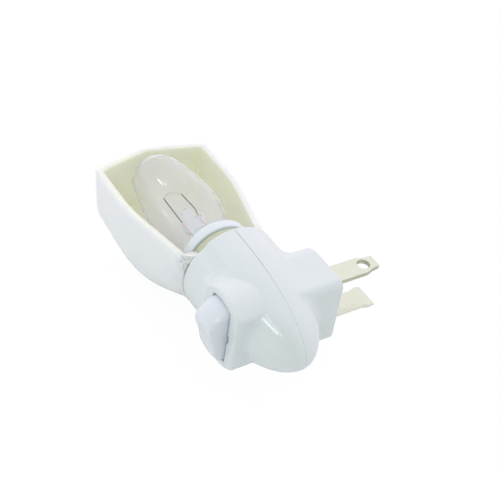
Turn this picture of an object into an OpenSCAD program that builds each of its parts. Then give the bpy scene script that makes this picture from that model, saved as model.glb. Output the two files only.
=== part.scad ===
// Plug-in night light with a turning shade, a screw-in clear bulb and a rocker switch.
// Origin: centre of the plug face, midway between the two blades.
// +Y points into the wall along the blades, +Z up along the bulb, +X to the right seen from the room.

/* [Plug blades] */
// Distance between the centre planes of the two blades
blade_spacing = 12.7; // [12.2:0.1:13.2]
// Width of a blade
blade_w = 6.35; // [5.8:0.05:6.8]
// Thickness of a blade
blade_t = 1.4; // [1.4:0.05:1.65]
// How far the blades stand out of the plug face
blade_out = 15.8; // [15:0.1:18]
// Width of the narrowed tip of the hot blade
hot_tip_w = 4.3; // [3.6:0.1:5.2]
// Width of the flared tip of the neutral blade
neutral_tip_w = 7.6; // [7.2:0.1:8.2]
// Diameter of the hole in the hot blade
blade_hole_d = 3.5; // [3:0.1:4.2]
// Distance of that hole from the plug face
blade_hole_y = 11.7; // [11:0.1:12.2]

/* [Casing] */
// Distance from the plug face to the vertical axis of casing, bulb and shade
axis_depth = 18.4; // [17.4:0.1:20]
// Radius of the round casing
casing_r = 14; // [13.6:0.1:15]
// Wall of the casing
casing_wall = 1.8; // [1.6:0.1:2.2]
// Height of the flat top of the casing above the blades
casing_top = 20.2; // [19.6:0.1:21.5]
// Height at which the straight casing starts to round into its domed bottom
dome_start = 14.3; // [13.5:0.1:15]
// Depth of the domed bottom below the blades
dome_bottom = 19.3; // [18:0.1:21]
// Width of the block that carries the blades
block_w = 21.3; // [20:0.1:23]
// Height of that block's top above the blades
block_top = 11.9; // [10:0.1:12.4]
// Depth of that block's underside below the blades
block_bottom = 7.2; // [6.8:0.1:8]
// Radius of the block's upper corners
block_top_r = 6; // [3:0.1:6.5]
// Radius of the block's lower corners
block_bottom_r = 2.4; // [2:0.1:4]
// Depth of the shallow flutes on the casing's shoulders
flute_depth = 0.55; // [0.3:0.05:0.7]

/* [Switch] */
// Height of the boss's top above the blades
boss_top = 9.6; // [8.6:0.1:10]
// Depth of the boss's underside below the blades
boss_bottom = 7.1; // [6.6:0.1:8]
// Height of the rocker's middle above the blades
switch_z = 1; // [0.6:0.1:1.4]
// How far the boss's front face stands in front of the casing axis
boss_front = 14; // [13.8:0.1:14.6]
// Radius of the round ends of the rocker's opening
opening_r = 9.75; // [9.5:0.05:9.9]
// Height of the rocker's opening
opening_h = 8.8; // [8:0.1:9.4]
// Tilt of the rocker to either side
rocker_tilt = 15; // [12:0.5:16]
// Depth of the rocker's pivot behind the boss's front face
pivot_depth = 2.4; // [2.2:0.1:2.8]
// Radius of the rocker's two trunnions
trunnion_r = 1.2; // [1:0.05:1.4]

/* [Socket and bulb] */
// Outer radius of the socket's neck, on which the shade turns
neck_r = 8.7; // [8.6:0.05:8.9]
// Radius of the collar that keeps the shade on the neck
collar_r = 10.4; // [10.2:0.1:11]
// Height of the collar's underside above the blades
collar_bottom = 25.2; // [24.8:0.1:26]
// Height of the collar's top above the blades
collar_top = 29.1; // [28.6:0.1:29.4]
// Height of the bulb's end contact above the blades
bulb_bottom = 15.1; // [14.8:0.1:15.4]
// Overall length of the bulb
bulb_len = 54; // [53:0.5:55]
// Largest radius of the bulb's glass
bulb_r = 10.4; // [9.8:0.1:11.1]
// Height of the bulb's widest place above its end contact
bulb_belly = 30.4; // [28:0.2:33]
// Thickness of the bulb's glass
glass_t = 0.6; // [0.5:0.1:0.8]
// Turn of the bulb's filament about the bulb's axis
filament_turn = 22; // [0:1:45]

/* [Shade] */
// Turn of the shade from facing the room
shade_turn = -90; // [-180:15:180]
// Wall of the shade
shade_wall = 2; // [1.6:0.1:2.2]
// Distance of the shade's open edge behind the casing axis
shade_rim = 5.4; // [5:0.1:6]
// Largest half width of the shade
shade_half_w = 18.3; // [18:0.1:18.3]
// Greatest depth of the shade in front of the casing axis
shade_front = 18.1; // [17.6:0.1:18.4]
// Height at which the shade reaches its full width
shade_widest = 52; // [46:1:58]
// Clear height between the bulb's tip and the inside of the shade's roof
roof_clearance = 1.2; // [0.8:0.1:6]
// Height of the roof's peak above the shade's shoulders
roof_rise = 4.7; // [3:0.1:6]

/* [Hidden] */
$fn = 96;

// Clearances: between pieces that seat on each other, in a running fit, and round a moving piece
seat = 0.1;
run_fit = 0.06;
air = 0.3;
// A little more than nothing, by which cutters pass through what they cut
past = 1;
// Thickness of the shade's sloping roof, measured upright
roof_t = shade_wall * 1.03;

axis_y = -axis_depth;
blade_x = blade_spacing / 2;

// Parts share the bulb's upright axis through this frame
module at_axis() translate([0, axis_y, 0]) children();
// A flat outline in the XZ plane, extruded along +Y from y0 to y1
module along_y(y0, y1) translate([0, y1, 0]) rotate([90, 0, 0]) linear_extrude(y1 - y0) children();
// A flat outline in the YZ plane, extruded along +X from x0 to x1
module along_x(x0, x1) translate([x0, 0, 0]) rotate([90, 0, 90]) linear_extrude(x1 - x0) children();
// A flat outline in the XY plane, extruded along +Z from z0 to z1
module along_z(z0, z1) translate([0, 0, z0]) linear_extrude(z1 - z0) children();
// A wire of the given radius along a path; side is any direction across the whole path
function unit(v) = v / norm(v);
module wire(path, r, side, facets) {
    n = len(path) - 1;
    rings = [for (i = [0:n])
        let (t = unit(path[min(n, i + 1)] - path[max(0, i - 1)]), u = unit(cross(side, t)), v = cross(t, u))
        [for (j = [0:facets - 1]) path[i] + r * (cos(360 * j / facets) * u + sin(360 * j / facets) * v)]];
    polyhedron(points = [for (q = rings) each q], faces = concat(
        [[for (j = [facets - 1:-1:0]) j]], [[for (j = [0:facets - 1]) n * facets + j]],
        [for (i = [0:n - 1], j = [0:facets - 1]) let (a = i * facets + j, b = i * facets + (j + 1) % facets)
            [a, b, b + facets, a + facets]]));
}
module box(x0, x1, y0, y1, z0, z1) translate([x0, y0, z0]) cube([x1 - x0, y1 - y0, z1 - z0]);
module ring(r_out, r_in, z0, z1) along_z(z0, z1) difference() { circle(r_out); circle(r_in); }

// ---------------------------------------------------------------- casing
// Half profile of the casing: a straight round wall that ends in a long rounded dome
dome_steps = 20;
function dome(r, bottom) = [for (i = [0:dome_steps]) let (t = sin(90 * i / dome_steps))
    [i == dome_steps ? 0 : r * pow(1 - pow(t, 2.15), 1 / 1.89), dome_start - (dome_start + bottom) * t]];
top_edge = 0.5;
module body_outer() at_axis() rotate_extrude()
    polygon(concat([[0, casing_top], [casing_r - top_edge, casing_top], [casing_r, casing_top - top_edge]],
        dome(casing_r, dome_bottom)));
inner_r = casing_r - casing_wall;
deck_bottom = casing_top - casing_wall;
module body_inner() at_axis() rotate_extrude()
    polygon(concat([[0, deck_bottom], [inner_r, deck_bottom]], dome(inner_r, dome_bottom - casing_wall)));

// The four shallow flutes keep their width down from the top and run out in a short slope
flute_r = 8;
flute_end = 6;
flute_slope = 5;
flute_angle = 47.5;
module flutes() for (a = [flute_angle, 180 - flute_angle, 180 + flute_angle, -flute_angle])
    at_axis() rotate([0, 0, a]) difference() {
        along_z(flute_end, casing_top + past)
            translate([0, -casing_r - flute_r + flute_depth]) circle(flute_r);
        along_x(-flute_r, flute_r) polygon([[-casing_r + flute_depth, flute_end + flute_slope],
            [-casing_r, flute_end], [-casing_r, flute_end - past],
            [0, flute_end - past], [0, flute_end + flute_slope]]);
    }

// Plug block at the back, hollow, with slots that the blades pass through
back_wall = 2.2;
module block_shape(inset) {
    w = block_w / 2 - inset;
    t = block_top - inset;
    b = -block_bottom + inset;
    rt = block_top_r - inset;
    rb = block_bottom_r - inset;
    polygon([[-w + rb, b], [w - rb, b], [w, b + rb], [w, t - rt],
        [w - rt, t], [-w + rt, t], [-w, t - rt], [-w, b + rb]]);
    for (s = [-1, 1]) {
        translate([s * (w - rb), b + rb]) circle(rb);
        translate([s * (w - rt), t - rt]) circle(rt);
    }
}
module block_outer() along_y(axis_y, 0) block_shape(0);
module block_inner() along_y(axis_y, -back_wall) block_shape(casing_wall);

// Boss at the front with the rocker's opening: both are discs with flat sides
boss_y = axis_y - boss_front;
boss_rim = 2.05;
boss_r = opening_r + boss_rim;
pivot_y = boss_y + pivot_depth;
cheek_y = pivot_y + 3.2;
module flat_disc(r, low, high) intersection() {
    translate([0, switch_z]) circle(r);
    translate([-r, low]) square([2 * r, high - low]);
}
module boss_shape(inset) flat_disc(boss_r - inset, -boss_bottom + inset, boss_top - inset);
module boss_outer() along_y(boss_y, axis_y) boss_shape(0);
module boss_inner() along_y(cheek_y, axis_y) boss_shape(casing_wall);
module rocker_opening() {
    along_y(boss_y - past, cheek_y + past)
        flat_disc(opening_r, switch_z - opening_h / 2, switch_z + opening_h / 2);
    // Seats of the two trunnions, with the lead-in groove through which they snap home
    trunnion_len = opening_h / 2 + 1.5;
    translate([0, pivot_y, switch_z - trunnion_len]) cylinder(r = trunnion_r + run_fit, h = 2 * trunnion_len);
    groove = opening_h / 2 + 0.5;
    box(-trunnion_r, trunnion_r, boss_y - past, pivot_y, switch_z - groove, switch_z + groove);
}

// Seat of the socket: its flange is held between the top deck and a ring shelf
flange_r = 9.8;
flange_t = 1.3;
shelf_top = deck_bottom - flange_t - 2 * seat;
shelf_t = 1.6;
module socket_shelf() at_axis()
    ring(inner_r + casing_wall / 2, neck_r + seat, shelf_top - shelf_t, shelf_top);
module neck_hole() at_axis() translate([0, 0, deck_bottom - past])
    cylinder(r = neck_r + seat, h = casing_wall + 2 * past);

// Locating pegs across the joint of the two casing halves: [x, z]
peg_r = 1;
peg_len = 2.5;
peg_boss_r = 1.9;
peg_x = inner_r - 1.3;
pegs = [[-peg_x, 11.2], [peg_x, 11.2], [0, -dome_bottom + casing_wall + 1.6]];
module at_pegs() for (p = pegs) translate([p[0], axis_y, p[1]]) rotate([90, 0, 0]) children();

module half_space(front) {
    reach = 60;
    box(-reach, reach, front ? axis_y - reach : axis_y, front ? axis_y : axis_y + reach, -reach, reach);
}
module casing_solid() {
    difference() {
        body_outer();
        flutes();
    }
    block_outer();
    boss_outer();
}

module front_casing() color([0.95, 0.96, 0.97]) difference() {
    union() {
        difference() {
            casing_solid();
            body_inner();
            boss_inner();
            half_space(false);
        }
        difference() {
            socket_shelf();
            half_space(false);
        }
        // Cheeks on both sides of the rocker, in which its trunnions turn
        along_y(boss_y + 1, cheek_y) boss_shape(1);
        at_pegs() cylinder(r = peg_boss_r, h = peg_len + 1);
    }
    neck_hole();
    rocker_opening();
    at_pegs() translate([0, 0, -past]) cylinder(r = peg_r + seat / 2, h = peg_len + past + seat);
}

// Shelf inside the rear casing that carries the switch's terminals
terminal_in = 8.3;
terminal_y = pivot_y + terminal_in;
shelf_plate_t = 1.6;
shelf_half_w = 9.6;
shelf_z0 = -1.8;
shelf_z1 = 6.4;
arm_z0 = 1;
arm_t = 2;
arm_x = inner_r - 0.1;
strip_t = 0.5;
strip_w = 4;
strip_gap = 0.1;
module terminal_shelf() difference() {
    union() {
        box(-shelf_half_w, shelf_half_w, terminal_y, terminal_y + shelf_plate_t, shelf_z0, shelf_z1);
        // Arms that join the shelf to the casing wall
        for (s = [-1, 1]) {
            inner_x = s * (shelf_half_w - arm_t);
            outer_x = s * shelf_half_w;
            wall_x = s * arm_x;
            box(min(inner_x, outer_x), max(inner_x, outer_x), terminal_y, axis_y + arm_t, arm_z0, shelf_z1);
            box(min(inner_x, wall_x), max(inner_x, wall_x), axis_y, axis_y + arm_t, arm_z0, shelf_z1);
        }
    }
    // Passage for the switch terminal on its way to the hot blade
    blade_face = blade_x - blade_t / 2;
    slot_h = strip_w / 2 + strip_gap;
    box(blade_face - strip_t - strip_gap, blade_face + strip_gap,
        terminal_y - past, terminal_y + shelf_plate_t + past, switch_z - slot_h, switch_z + slot_h);
}

// Ribs on both sides of each blade's tail
tail_in = 9;
rib_t = 1.2;
rib_in = 6;
module blade_ribs() for (s = [-1, 1]) {
    outer_face = s * (blade_x + (blade_t / 2 + seat));
    box(min(outer_face, outer_face + s * rib_t), max(outer_face, outer_face + s * rib_t),
        -rib_in, -back_wall + 0.1, -blade_w / 2 - 1.4, blade_w / 2 + 1.4);
}
module rear_casing() color([0.95, 0.96, 0.97]) {
    difference() {
        union() {
            intersection() {
                union() {
                    difference() {
                        casing_solid();
                        body_inner();
                        block_inner();
                    }
                    socket_shelf();
                    blade_ribs();
                }
                half_space(false);
            }
            terminal_shelf();
            at_pegs() translate([0, 0, -1.5]) cylinder(r = peg_r, h = peg_len + 1.5);
            at_pegs() translate([0, 0, -3]) cylinder(r = peg_boss_r, h = 3);
        }
        neck_hole();
        // Slots for the blades
        for (s = [-1, 1]) box(s * blade_x - blade_t / 2 - seat, s * blade_x + blade_t / 2 + seat,
            -back_wall - past, past, -blade_w / 2 - seat, blade_w / 2 + seat);
    }
}

// ---------------------------------------------------------------- socket
shell_r = 6.5;
shell_t = 0.4;
shell_floor_r = 4.9;
sleeve_bore = shell_r + seat;
sleeve_bottom = 13.8;
sleeve_floor = 1.1;
tab_w = 3.4;
tab_t = 0.5;
// The shell's tab and the neutral strap lie against each other between these heights
tab_bottom = sleeve_bottom - 4.4;
tab_top = sleeve_bottom - 0.8;
riser_w = 3;
module socket_sleeve() color([0.93, 0.92, 0.85]) at_axis() difference() {
    union() {
        along_z(sleeve_bottom, collar_bottom + 0.5) circle(neck_r);
        ring(flange_r, 3, shelf_top + seat, deck_bottom - seat);
        // Collar with eased edges
        rotate_extrude() polygon([[0, collar_bottom], [collar_r - 0.3, collar_bottom],
            [collar_r, collar_bottom + 0.4], [collar_r, collar_top - 1.1],
            [collar_r - 0.35, collar_top - 0.35], [collar_r - 1.1, collar_top], [0, collar_top]]);
    }
    translate([0, 0, sleeve_bottom + sleeve_floor]) cylinder(r = sleeve_bore, h = collar_top);
    translate([0, 0, sleeve_bottom - past]) cylinder(r = 3, h = 4);
    // Slot through which the shell's tab leaves the sleeve
    box(-tab_w / 2 - seat, tab_w / 2 + seat, shell_r - thread_depth - tab_t - seat, shell_r + seat,
        sleeve_bottom - past, sleeve_bottom + 3);
}

// Formed threads are drawn as rings: the wall waves in and out by thread_depth
thread_pitch = 2.54;
thread_depth = 0.35;
function wave(z, r) = r - thread_depth * (0.5 - 0.5 * cos(360 * z / thread_pitch));
wave_steps = 8;
function wave_wall(r, z0, z1) = let (n = ceil((z1 - z0) / thread_pitch * wave_steps))
    [for (i = [0:n]) let (z = z0 + (z1 - z0) * i / n) [wave(z, r), z]];
shell_bottom = sleeve_bottom + sleeve_floor;
shell_top = 27.6;
// Both threads end here, at a crest, in a plain band
thread_end = 10 * thread_pitch;
function flip(list) = [for (i = [len(list) - 1:-1:0]) list[i]];
module socket_shell() color([0.78, 0.66, 0.36]) at_axis() {
    rotate_extrude() polygon(concat([[shell_floor_r, shell_bottom], [shell_r - thread_depth, shell_bottom]],
        wave_wall(shell_r, shell_bottom + 2, thread_end),
        [[shell_r, shell_top], [shell_r - shell_t, shell_top]],
        flip(wave_wall(shell_r - shell_t, shell_bottom + 2, thread_end)),
        [[shell_r - thread_depth - shell_t, shell_bottom + shell_t],
            [shell_floor_r, shell_bottom + shell_t]]));
    // Tab bent down through the sleeve's floor to the neutral strap
    tab_y = shell_r - thread_depth;
    box(-tab_w / 2, tab_w / 2, tab_y - tab_t, tab_y, tab_bottom, shell_bottom + shell_t);
}

// ---------------------------------------------------------------- blades and terminals
// A blade's tail inside the casing is narrower than the blade
tail_w = 5;
blade_tail = [[-back_wall - 0.8, blade_w / 2], [-back_wall - 1.6, tail_w / 2], [-tail_in, tail_w / 2],
    [-tail_in, -tail_w / 2], [-back_wall - 1.6, -tail_w / 2], [-back_wall - 0.8, -blade_w / 2]];
rivet_y = -7;
rivet_r = 0.9;
rivet_head_r = 1.5;
rivet_head_t = 0.4;
// Cutters that ease the long edges of a blade between the plug face and its tip
edge_ease = 0.3;
module eased_edges(x, y1) translate([x, 0, 0]) for (a = [-1, 1], b = [-1, 1])
    along_y(0, y1) polygon([[a * (blade_t / 2 - edge_ease), b * (blade_w / 2 + 0.01)],
        [a * (blade_t / 2 + 0.01), b * (blade_w / 2 - edge_ease)], [a * blade_t, b * blade_w]]);
module rivet_hole(x) translate([x - blade_t, rivet_y, switch_z]) rotate([0, 90, 0])
    cylinder(r = rivet_r + 0.05, h = 2 * blade_t);
module hot_blade() color([0.80, 0.78, 0.66]) difference() {
    along_x(blade_x - blade_t / 2, blade_x + blade_t / 2)
        polygon(concat(blade_tail, [[blade_out - 4.4, -blade_w / 2], [blade_out - 2.4, -hot_tip_w / 2 - 0.2],
            [blade_out - 0.2, -hot_tip_w / 2], [blade_out, -hot_tip_w / 2 + 0.2],
            [blade_out, hot_tip_w / 2 - 0.2], [blade_out - 0.2, hot_tip_w / 2],
            [blade_out - 2.4, hot_tip_w / 2 + 0.2], [blade_out - 4.4, blade_w / 2]]));
    eased_edges(blade_x, blade_out - 4.6);
    translate([blade_x - blade_t, blade_hole_y, 0]) rotate([0, 90, 0])
        cylinder(d = blade_hole_d, h = 2 * blade_t);
    rivet_hole(blade_x);
}
module neutral_blade() color([0.80, 0.78, 0.66]) difference() {
    along_x(-blade_x - blade_t / 2, -blade_x + blade_t / 2)
        polygon(concat(blade_tail, [[blade_out - 3.6, -blade_w / 2],
            [blade_out - 2.2, -neutral_tip_w / 2 + 0.1], [blade_out - 0.2, -neutral_tip_w / 2],
            [blade_out, -neutral_tip_w / 2 + 0.2], [blade_out, neutral_tip_w / 2 - 0.2],
            [blade_out - 0.2, neutral_tip_w / 2], [blade_out - 2.2, neutral_tip_w / 2 - 0.1],
            [blade_out - 3.6, blade_w / 2]]));
    eased_edges(-blade_x, blade_out - 3.8);
    // Coined bevels that thin the tip
    for (s = [-1, 1]) along_z(-neutral_tip_w, neutral_tip_w) translate([-blade_x, blade_out])
        polygon([[s * blade_t / 2, -1.3], [s * (blade_t / 2 + 1), -1.3],
            [s * (blade_t / 2 + 1), past], [s * (blade_t / 2 - 0.6), past]]);
    rivet_hole(-blade_x);
}

// The strips lie flat against the blades' inner faces and end short of the back wall
strip_end = -back_wall - 0.7;
// Strip from the hot blade to the switch's middle, where the contact bar rocks on its rounded ridge
bar_t = 0.5;
bar_y = terminal_y - strip_t - 0.85;
ridge_r = 0.4;
ear_half = 1.4;
ear_rise = 1.2;
module switch_terminal() color([0.80, 0.62, 0.32]) {
    x1 = blade_x - blade_t / 2;
    z0 = switch_z - strip_w / 2;
    z1 = switch_z + strip_w / 2;
    difference() {
        union() {
            box(x1 - strip_t, x1, terminal_y - strip_t, strip_end, z0, z1);
            box(-2, x1, terminal_y - strip_t, terminal_y, z0, z1);
        }
        translate([x1 - 1, rivet_y, switch_z]) rotate([0, 90, 0]) cylinder(r = rivet_r + 0.05, h = 2);
    }
    // Ridge under the bar
    box(-ridge_r, ridge_r, bar_y + 0.05 + ridge_r, terminal_y - strip_t + 0.1, z0, z1);
    translate([0, bar_y + 0.05 + ridge_r, z0]) cylinder(r = ridge_r, h = strip_w);
    // Ears that keep the bar on its ridge
    for (s = [-1, 1]) box(-ear_half, ear_half, bar_y - ear_rise, terminal_y - strip_t + 0.1,
        s > 0 ? z1 - 0.4 : z0, s > 0 ? z1 : z0 + 0.4);
}

// Strip from the switch's fixed contact up to the middle contact under the bulb
lamp_x = -4.9;
lamp_w = 3.2;
dimple_r = 1.6;
module lamp_terminal() color([0.80, 0.62, 0.32]) {
    top = sleeve_bottom - seat;
    tongue = dimple_r + 0.4;
    box(lamp_x - lamp_w / 2, lamp_x + lamp_w / 2, terminal_y - strip_t, terminal_y,
        switch_z - strip_w / 2, top);
    // The strip turns level, runs inwards and ends in a tongue under the bulb
    box(lamp_x - lamp_w / 2, tongue, terminal_y - strip_t, axis_y - tongue, top - strip_t, top);
    box(-tongue, tongue, axis_y - tongue, axis_y + tongue, top - strip_t, top);
    // Raised dimple that presses on the bulb's end contact
    at_axis() intersection() {
        translate([0, 0, bulb_bottom - 0.1 - dimple_r]) sphere(dimple_r);
        box(-dimple_r, dimple_r, -dimple_r, dimple_r, top - 0.1, bulb_bottom);
    }
}
contact_r = 1;
module fixed_contact() color([0.85, 0.85, 0.87]) translate([lamp_x, terminal_y - strip_t, switch_z])
    rotate([90, 0, 0]) cylinder(r = contact_r, h = 0.4);

// Strip from the neutral blade to the tab of the socket's shell
module neutral_strap() color([0.80, 0.62, 0.32]) {
    x0 = -blade_x + blade_t / 2;
    y_tab = axis_y + shell_r - thread_depth;
    z0 = switch_z - strip_w / 2;
    z1 = switch_z + strip_w / 2;
    difference() {
        union() {
            along_x(x0, x0 + strip_t) polygon([[strip_end, z0], [strip_end, z1],
                [y_tab + riser_w, z1 + riser_w / 2], [y_tab + riser_w, tab_top],
                [y_tab, tab_top], [y_tab, z0]]);
            box(x0, tab_w / 2, y_tab, y_tab + strip_t, tab_bottom, tab_top);
        }
        translate([x0 - past, rivet_y, switch_z]) rotate([0, 90, 0])
            cylinder(r = rivet_r + 0.05, h = strip_t + 2 * past);
    }
}
// Rivets that join the straps to the blades
module strap_rivets() color([0.75, 0.72, 0.62]) for (s = [-1, 1]) {
    x_in = s * (blade_x - blade_t / 2 - strip_t);
    x_out = s * (blade_x + blade_t / 2);
    translate([min(x_in, x_out), rivet_y, switch_z]) rotate([0, 90, 0])
        cylinder(r = rivet_r, h = blade_t + strip_t);
    translate([s > 0 ? x_in - rivet_head_t : x_in, rivet_y, switch_z]) rotate([0, 90, 0])
        cylinder(r = rivet_head_r, h = rivet_head_t);
}

// ---------------------------------------------------------------- switch
bar_half = 6;
bar_w = strip_w - 1;
bar_bend = rocker_tilt * 8 / 15;
// The bar is a shallow V, so that one half lies level while the other is lifted
module contact_bar() color([0.84, 0.66, 0.34]) translate([0, bar_y, switch_z]) rotate([0, 0, bar_bend])
    for (s = [-1, 1]) rotate([0, 0, -s * bar_bend])
        box(s > 0 ? 0 : -bar_half, s > 0 ? bar_half : 0, -bar_t, 0, -bar_w / 2, bar_w / 2);
module moving_contact() color([0.85, 0.85, 0.87]) translate([0, bar_y, switch_z])
    rotate([0, 0, 2 * bar_bend]) translate([lamp_x, 0.3, 0]) rotate([90, 0, 0])
    cylinder(r = contact_r, h = 0.3);

// Rocker: a symmetrical two-lobed button, drawn upright and then tilted about its pivot
rocker_gap = 0.25;
rocker_w = opening_h - 2 * rocker_gap;
lobe = [5.2, 6.7];
// Its ends are parts of a ball about its pivot, so they keep their gap as it tips
rocker_r = opening_r - air;
valley = 6.1;
stem_r = 2.2;
stem_len = 4.2;
plunger_r = 1.25;
module in_rocker() translate([0, pivot_y, switch_z]) rotate([0, 0, -rocker_tilt]) children();
outline_r = rocker_r + 0.5;
rocker_half = concat([lobe], [for (a = [48:4:100]) outline_r * [sin(a), cos(a)]], [[rocker_r - 1, -1.6]]);
module rocker_outline() polygon(concat([[0, -valley]], [for (q = rocker_half) [q[0], -q[1]]],
    [for (q = flip(rocker_half)) [-q[0], -q[1]]]));
module rocker() color([0.93, 0.95, 0.98]) in_rocker() difference() {
    union() {
        intersection() {
            along_z(-rocker_w / 2, rocker_w / 2) rocker_outline();
            sphere(rocker_r);
        }
        along_z(-opening_h / 2 - 1.2, opening_h / 2 + 1.2) circle(trunnion_r);
        rotate([-90, 0, 0]) cylinder(r = stem_r, h = stem_len);
    }
    translate([0, -2, 0]) rotate([-90, 0, 0]) cylinder(r = plunger_r + 0.1, h = stem_len + 3);
}
plunger_tip = bar_y - bar_t - pivot_y - 0.35;
module plunger() color([0.82, 0.74, 0.5]) in_rocker() {
    translate([0, 1.4, 0]) rotate([-90, 0, 0]) cylinder(r = plunger_r, h = plunger_tip - plunger_r - 1.4);
    translate([0, plunger_tip - plunger_r, 0]) sphere(plunger_r);
}
// Coil spring behind the plunger
coil_r = 0.95;
coil_wire = 0.16;
coil_turns = 5;
coil_steps = 14;
coil_len = 3;
module plunger_spring() color([0.7, 0.72, 0.74]) in_rocker() translate([0, -1.8, 0])
    wire([for (i = [0:coil_steps * coil_turns]) let (a = 360 * i / coil_steps)
        [coil_r * cos(a), coil_len * i / (coil_steps * coil_turns), coil_r * sin(a)]],
        coil_wire, [0, 1, 0], 6);

// ---------------------------------------------------------------- shade
shade_bottom = casing_top + air;
shade_peak = bulb_bottom + bulb_len + roof_clearance + roof_t;
shade_shoulder = shade_peak - roof_rise;
ring_r = 10;
floor_t = 1.8;
bottom_r = casing_r + 0.2;
// The sides lean in towards the front, and so does the roof, by these amounts over the shade's depth
side_draft = 0.045;
roof_draft = 0.05;
// How far the front leans in from its deepest place up to the shoulders
top_lean = 2.7;
// Heights of the loft's sections; their widths, depths and roundness follow from smooth curves
function between(z, z0, z1) = min(1, max(0, (z - z0) / (z1 - z0)));
function ease(t) = t * t * (3 - 2 * t);
function side_w(z) = bottom_r + (shade_half_w - bottom_r) * ease(between(z, shade_bottom + 3, shade_widest));
function front_d(z) = bottom_r
    + (shade_front - bottom_r) * sin(90 * between(z, shade_bottom, shade_widest - 6))
    - top_lean * pow(between(z, shade_widest - 4, shade_shoulder), 1.25);
function squareness(z) = 2 + 3 * ease(between(z, shade_bottom + 1, shade_widest - 8));
roof_slope = (shade_peak - shade_shoulder) / shade_half_w;
function roof_w(z) = max(0.4, (shade_peak - z) / roof_slope);
// The two slopes meet the sides in rounded shoulders: a high power mean of both widths
shoulder_power = 40;
function half_w(z, inset) = let (a = side_w(z) - inset, b = roof_w(z + inset * roof_t / shade_wall))
    pow(pow(a, -shoulder_power) + pow(b, -shoulder_power), -1 / shoulder_power);
sections = 32;
function section(z, inset) = let (w = half_w(z, inset), d = front_d(min(z, shade_shoulder)) - inset,
    n = squareness(z), t0 = asin(pow(shade_rim / d, n / 2)),
    upper = ease(between(z, shade_bottom + 4, shade_widest - 2)))
    [for (i = [0:sections]) let (t = -t0 + (180 + 2 * t0) * i / sections,
            y = -d * sign(sin(t)) * pow(abs(sin(t)), 2 / n), depth = shade_rim - y)
        [w * sign(cos(t)) * pow(abs(cos(t)), 2 / n)
            * (1 - upper * side_draft * depth / (shade_front + shade_rim)),
            y, z - upper * roof_draft * depth]];
outer_z = concat([for (i = [0:15]) shade_bottom + (shade_shoulder - 1.6 - shade_bottom) * i / 15],
    [for (z = [-0.8, -0.2, 0.4, 1.2, 2.6]) shade_shoulder + z], [shade_peak]);
module shade_bowl() {
    rows = len(outer_z);
    cols = sections + 1;
    inner = rows * cols;
    // The inner surface ends one wall below the peak
    shrink = 1 - roof_t / (shade_peak - shade_bottom);
    z_in = [for (z = outer_z) shade_bottom + (z - shade_bottom) * shrink];
    points = concat([for (z = outer_z) each section(z, 0)], [for (z = z_in) each section(z, shade_wall)]);
    polyhedron(points = points, faces = concat(
        [for (i = [0:rows - 2], j = [0:cols - 2]) let (a = i * cols + j) [a, a + 1, a + 1 + cols, a + cols]],
        [for (i = [0:rows - 2], j = [0:cols - 2]) let (a = inner + i * cols + j)
            [a, a + cols, a + 1 + cols, a + 1]],
        [for (i = [0:rows - 2]) let (a = i * cols) [a, a + cols, inner + a + cols, inner + a]],
        [for (i = [0:rows - 2]) let (a = i * cols + cols - 1) [a, inner + a, inner + a + cols, a + cols]],
        [for (j = [0:cols - 2]) [j, inner + j, inner + j + 1, j + 1]],
        [[for (j = [0:cols - 1]) (rows - 1) * cols + j]],
        [[for (j = [cols - 1:-1:0]) inner + (rows - 1) * cols + j]],
        [[(rows - 1) * cols, rows * cols - 1, inner + rows * cols - 1, inner + (rows - 1) * cols]]));
}
module shade() color([0.96, 0.96, 0.86]) at_axis() rotate([0, 0, shade_turn]) {
    shade_bowl();
    // Floor, with the ring that turns on the socket's neck under its collar
    difference() {
        union() {
            along_z(shade_bottom, shade_bottom + floor_t) intersection() {
                circle(bottom_r - shade_wall / 2);
                translate([-bottom_r, -bottom_r]) square([2 * bottom_r, bottom_r + shade_rim - 0.2]);
            }
            along_z(shade_bottom, collar_bottom - air) circle(ring_r);
            // Lugs that end the floor at the open edge
            for (s = [-1, 1]) intersection() {
                along_x(s > 0 ? ring_r - 1.5 : -bottom_r, s > 0 ? bottom_r : -ring_r + 1.5)
                    polygon([[2, shade_bottom], [shade_rim + 2.4, shade_bottom],
                        [shade_rim, collar_bottom - 0.4], [2, collar_bottom - 0.4]]);
                along_z(0, shade_peak) circle(bottom_r - 0.1);
            }
        }
        translate([0, 0, shade_bottom - past])
            cylinder(r = neck_r + run_fit, h = collar_bottom - shade_bottom + past);
    }
}

// ---------------------------------------------------------------- bulb
bulb_top = bulb_bottom + bulb_len;
tip_r = 8.3;
cap_top = 28.4;
neck_glass_r = 5.5;
belly_z = bulb_bottom + bulb_belly;
// Glass: a narrow neck, a swelling belly and a round tip, joined by smooth curves
glass_bottom = cap_top - 0.8;
join_angle = 15;
join_r = tip_r * cos(join_angle);
join_z = bulb_top - tip_r + tip_r * sin(join_angle);
function glass_r(z) = z < belly_z
    ? neck_glass_r + (bulb_r - neck_glass_r) * sin(90 * pow(between(z, cap_top, belly_z), 1.05))
    : bulb_r - (bulb_r - join_r) * pow(between(z, belly_z, join_z), 2);
side_steps = 12;
tip_steps = 8;
function glass_profile(inset) = concat([[neck_glass_r - inset, glass_bottom]],
    [for (i = [0:2 * side_steps]) let (z = i < side_steps ? cap_top + (belly_z - cap_top) * i / side_steps
        : belly_z + (join_z - belly_z) * (i - side_steps) / side_steps) [glass_r(z) - inset, z]],
    [for (i = [1:tip_steps]) let (a = join_angle + (90 - join_angle) * i / tip_steps)
        [i == tip_steps ? 0 : (tip_r - inset) * cos(a), bulb_top - tip_r + (tip_r - inset) * sin(a)]]);
module bulb_glass() color([0.95, 0.97, 1, 0.35]) at_axis() rotate_extrude()
    polygon(concat(glass_profile(0), flip(glass_profile(glass_t))));

stem_top = 41;
module in_bulb() at_axis() rotate([0, 0, -filament_turn]) children();
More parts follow.
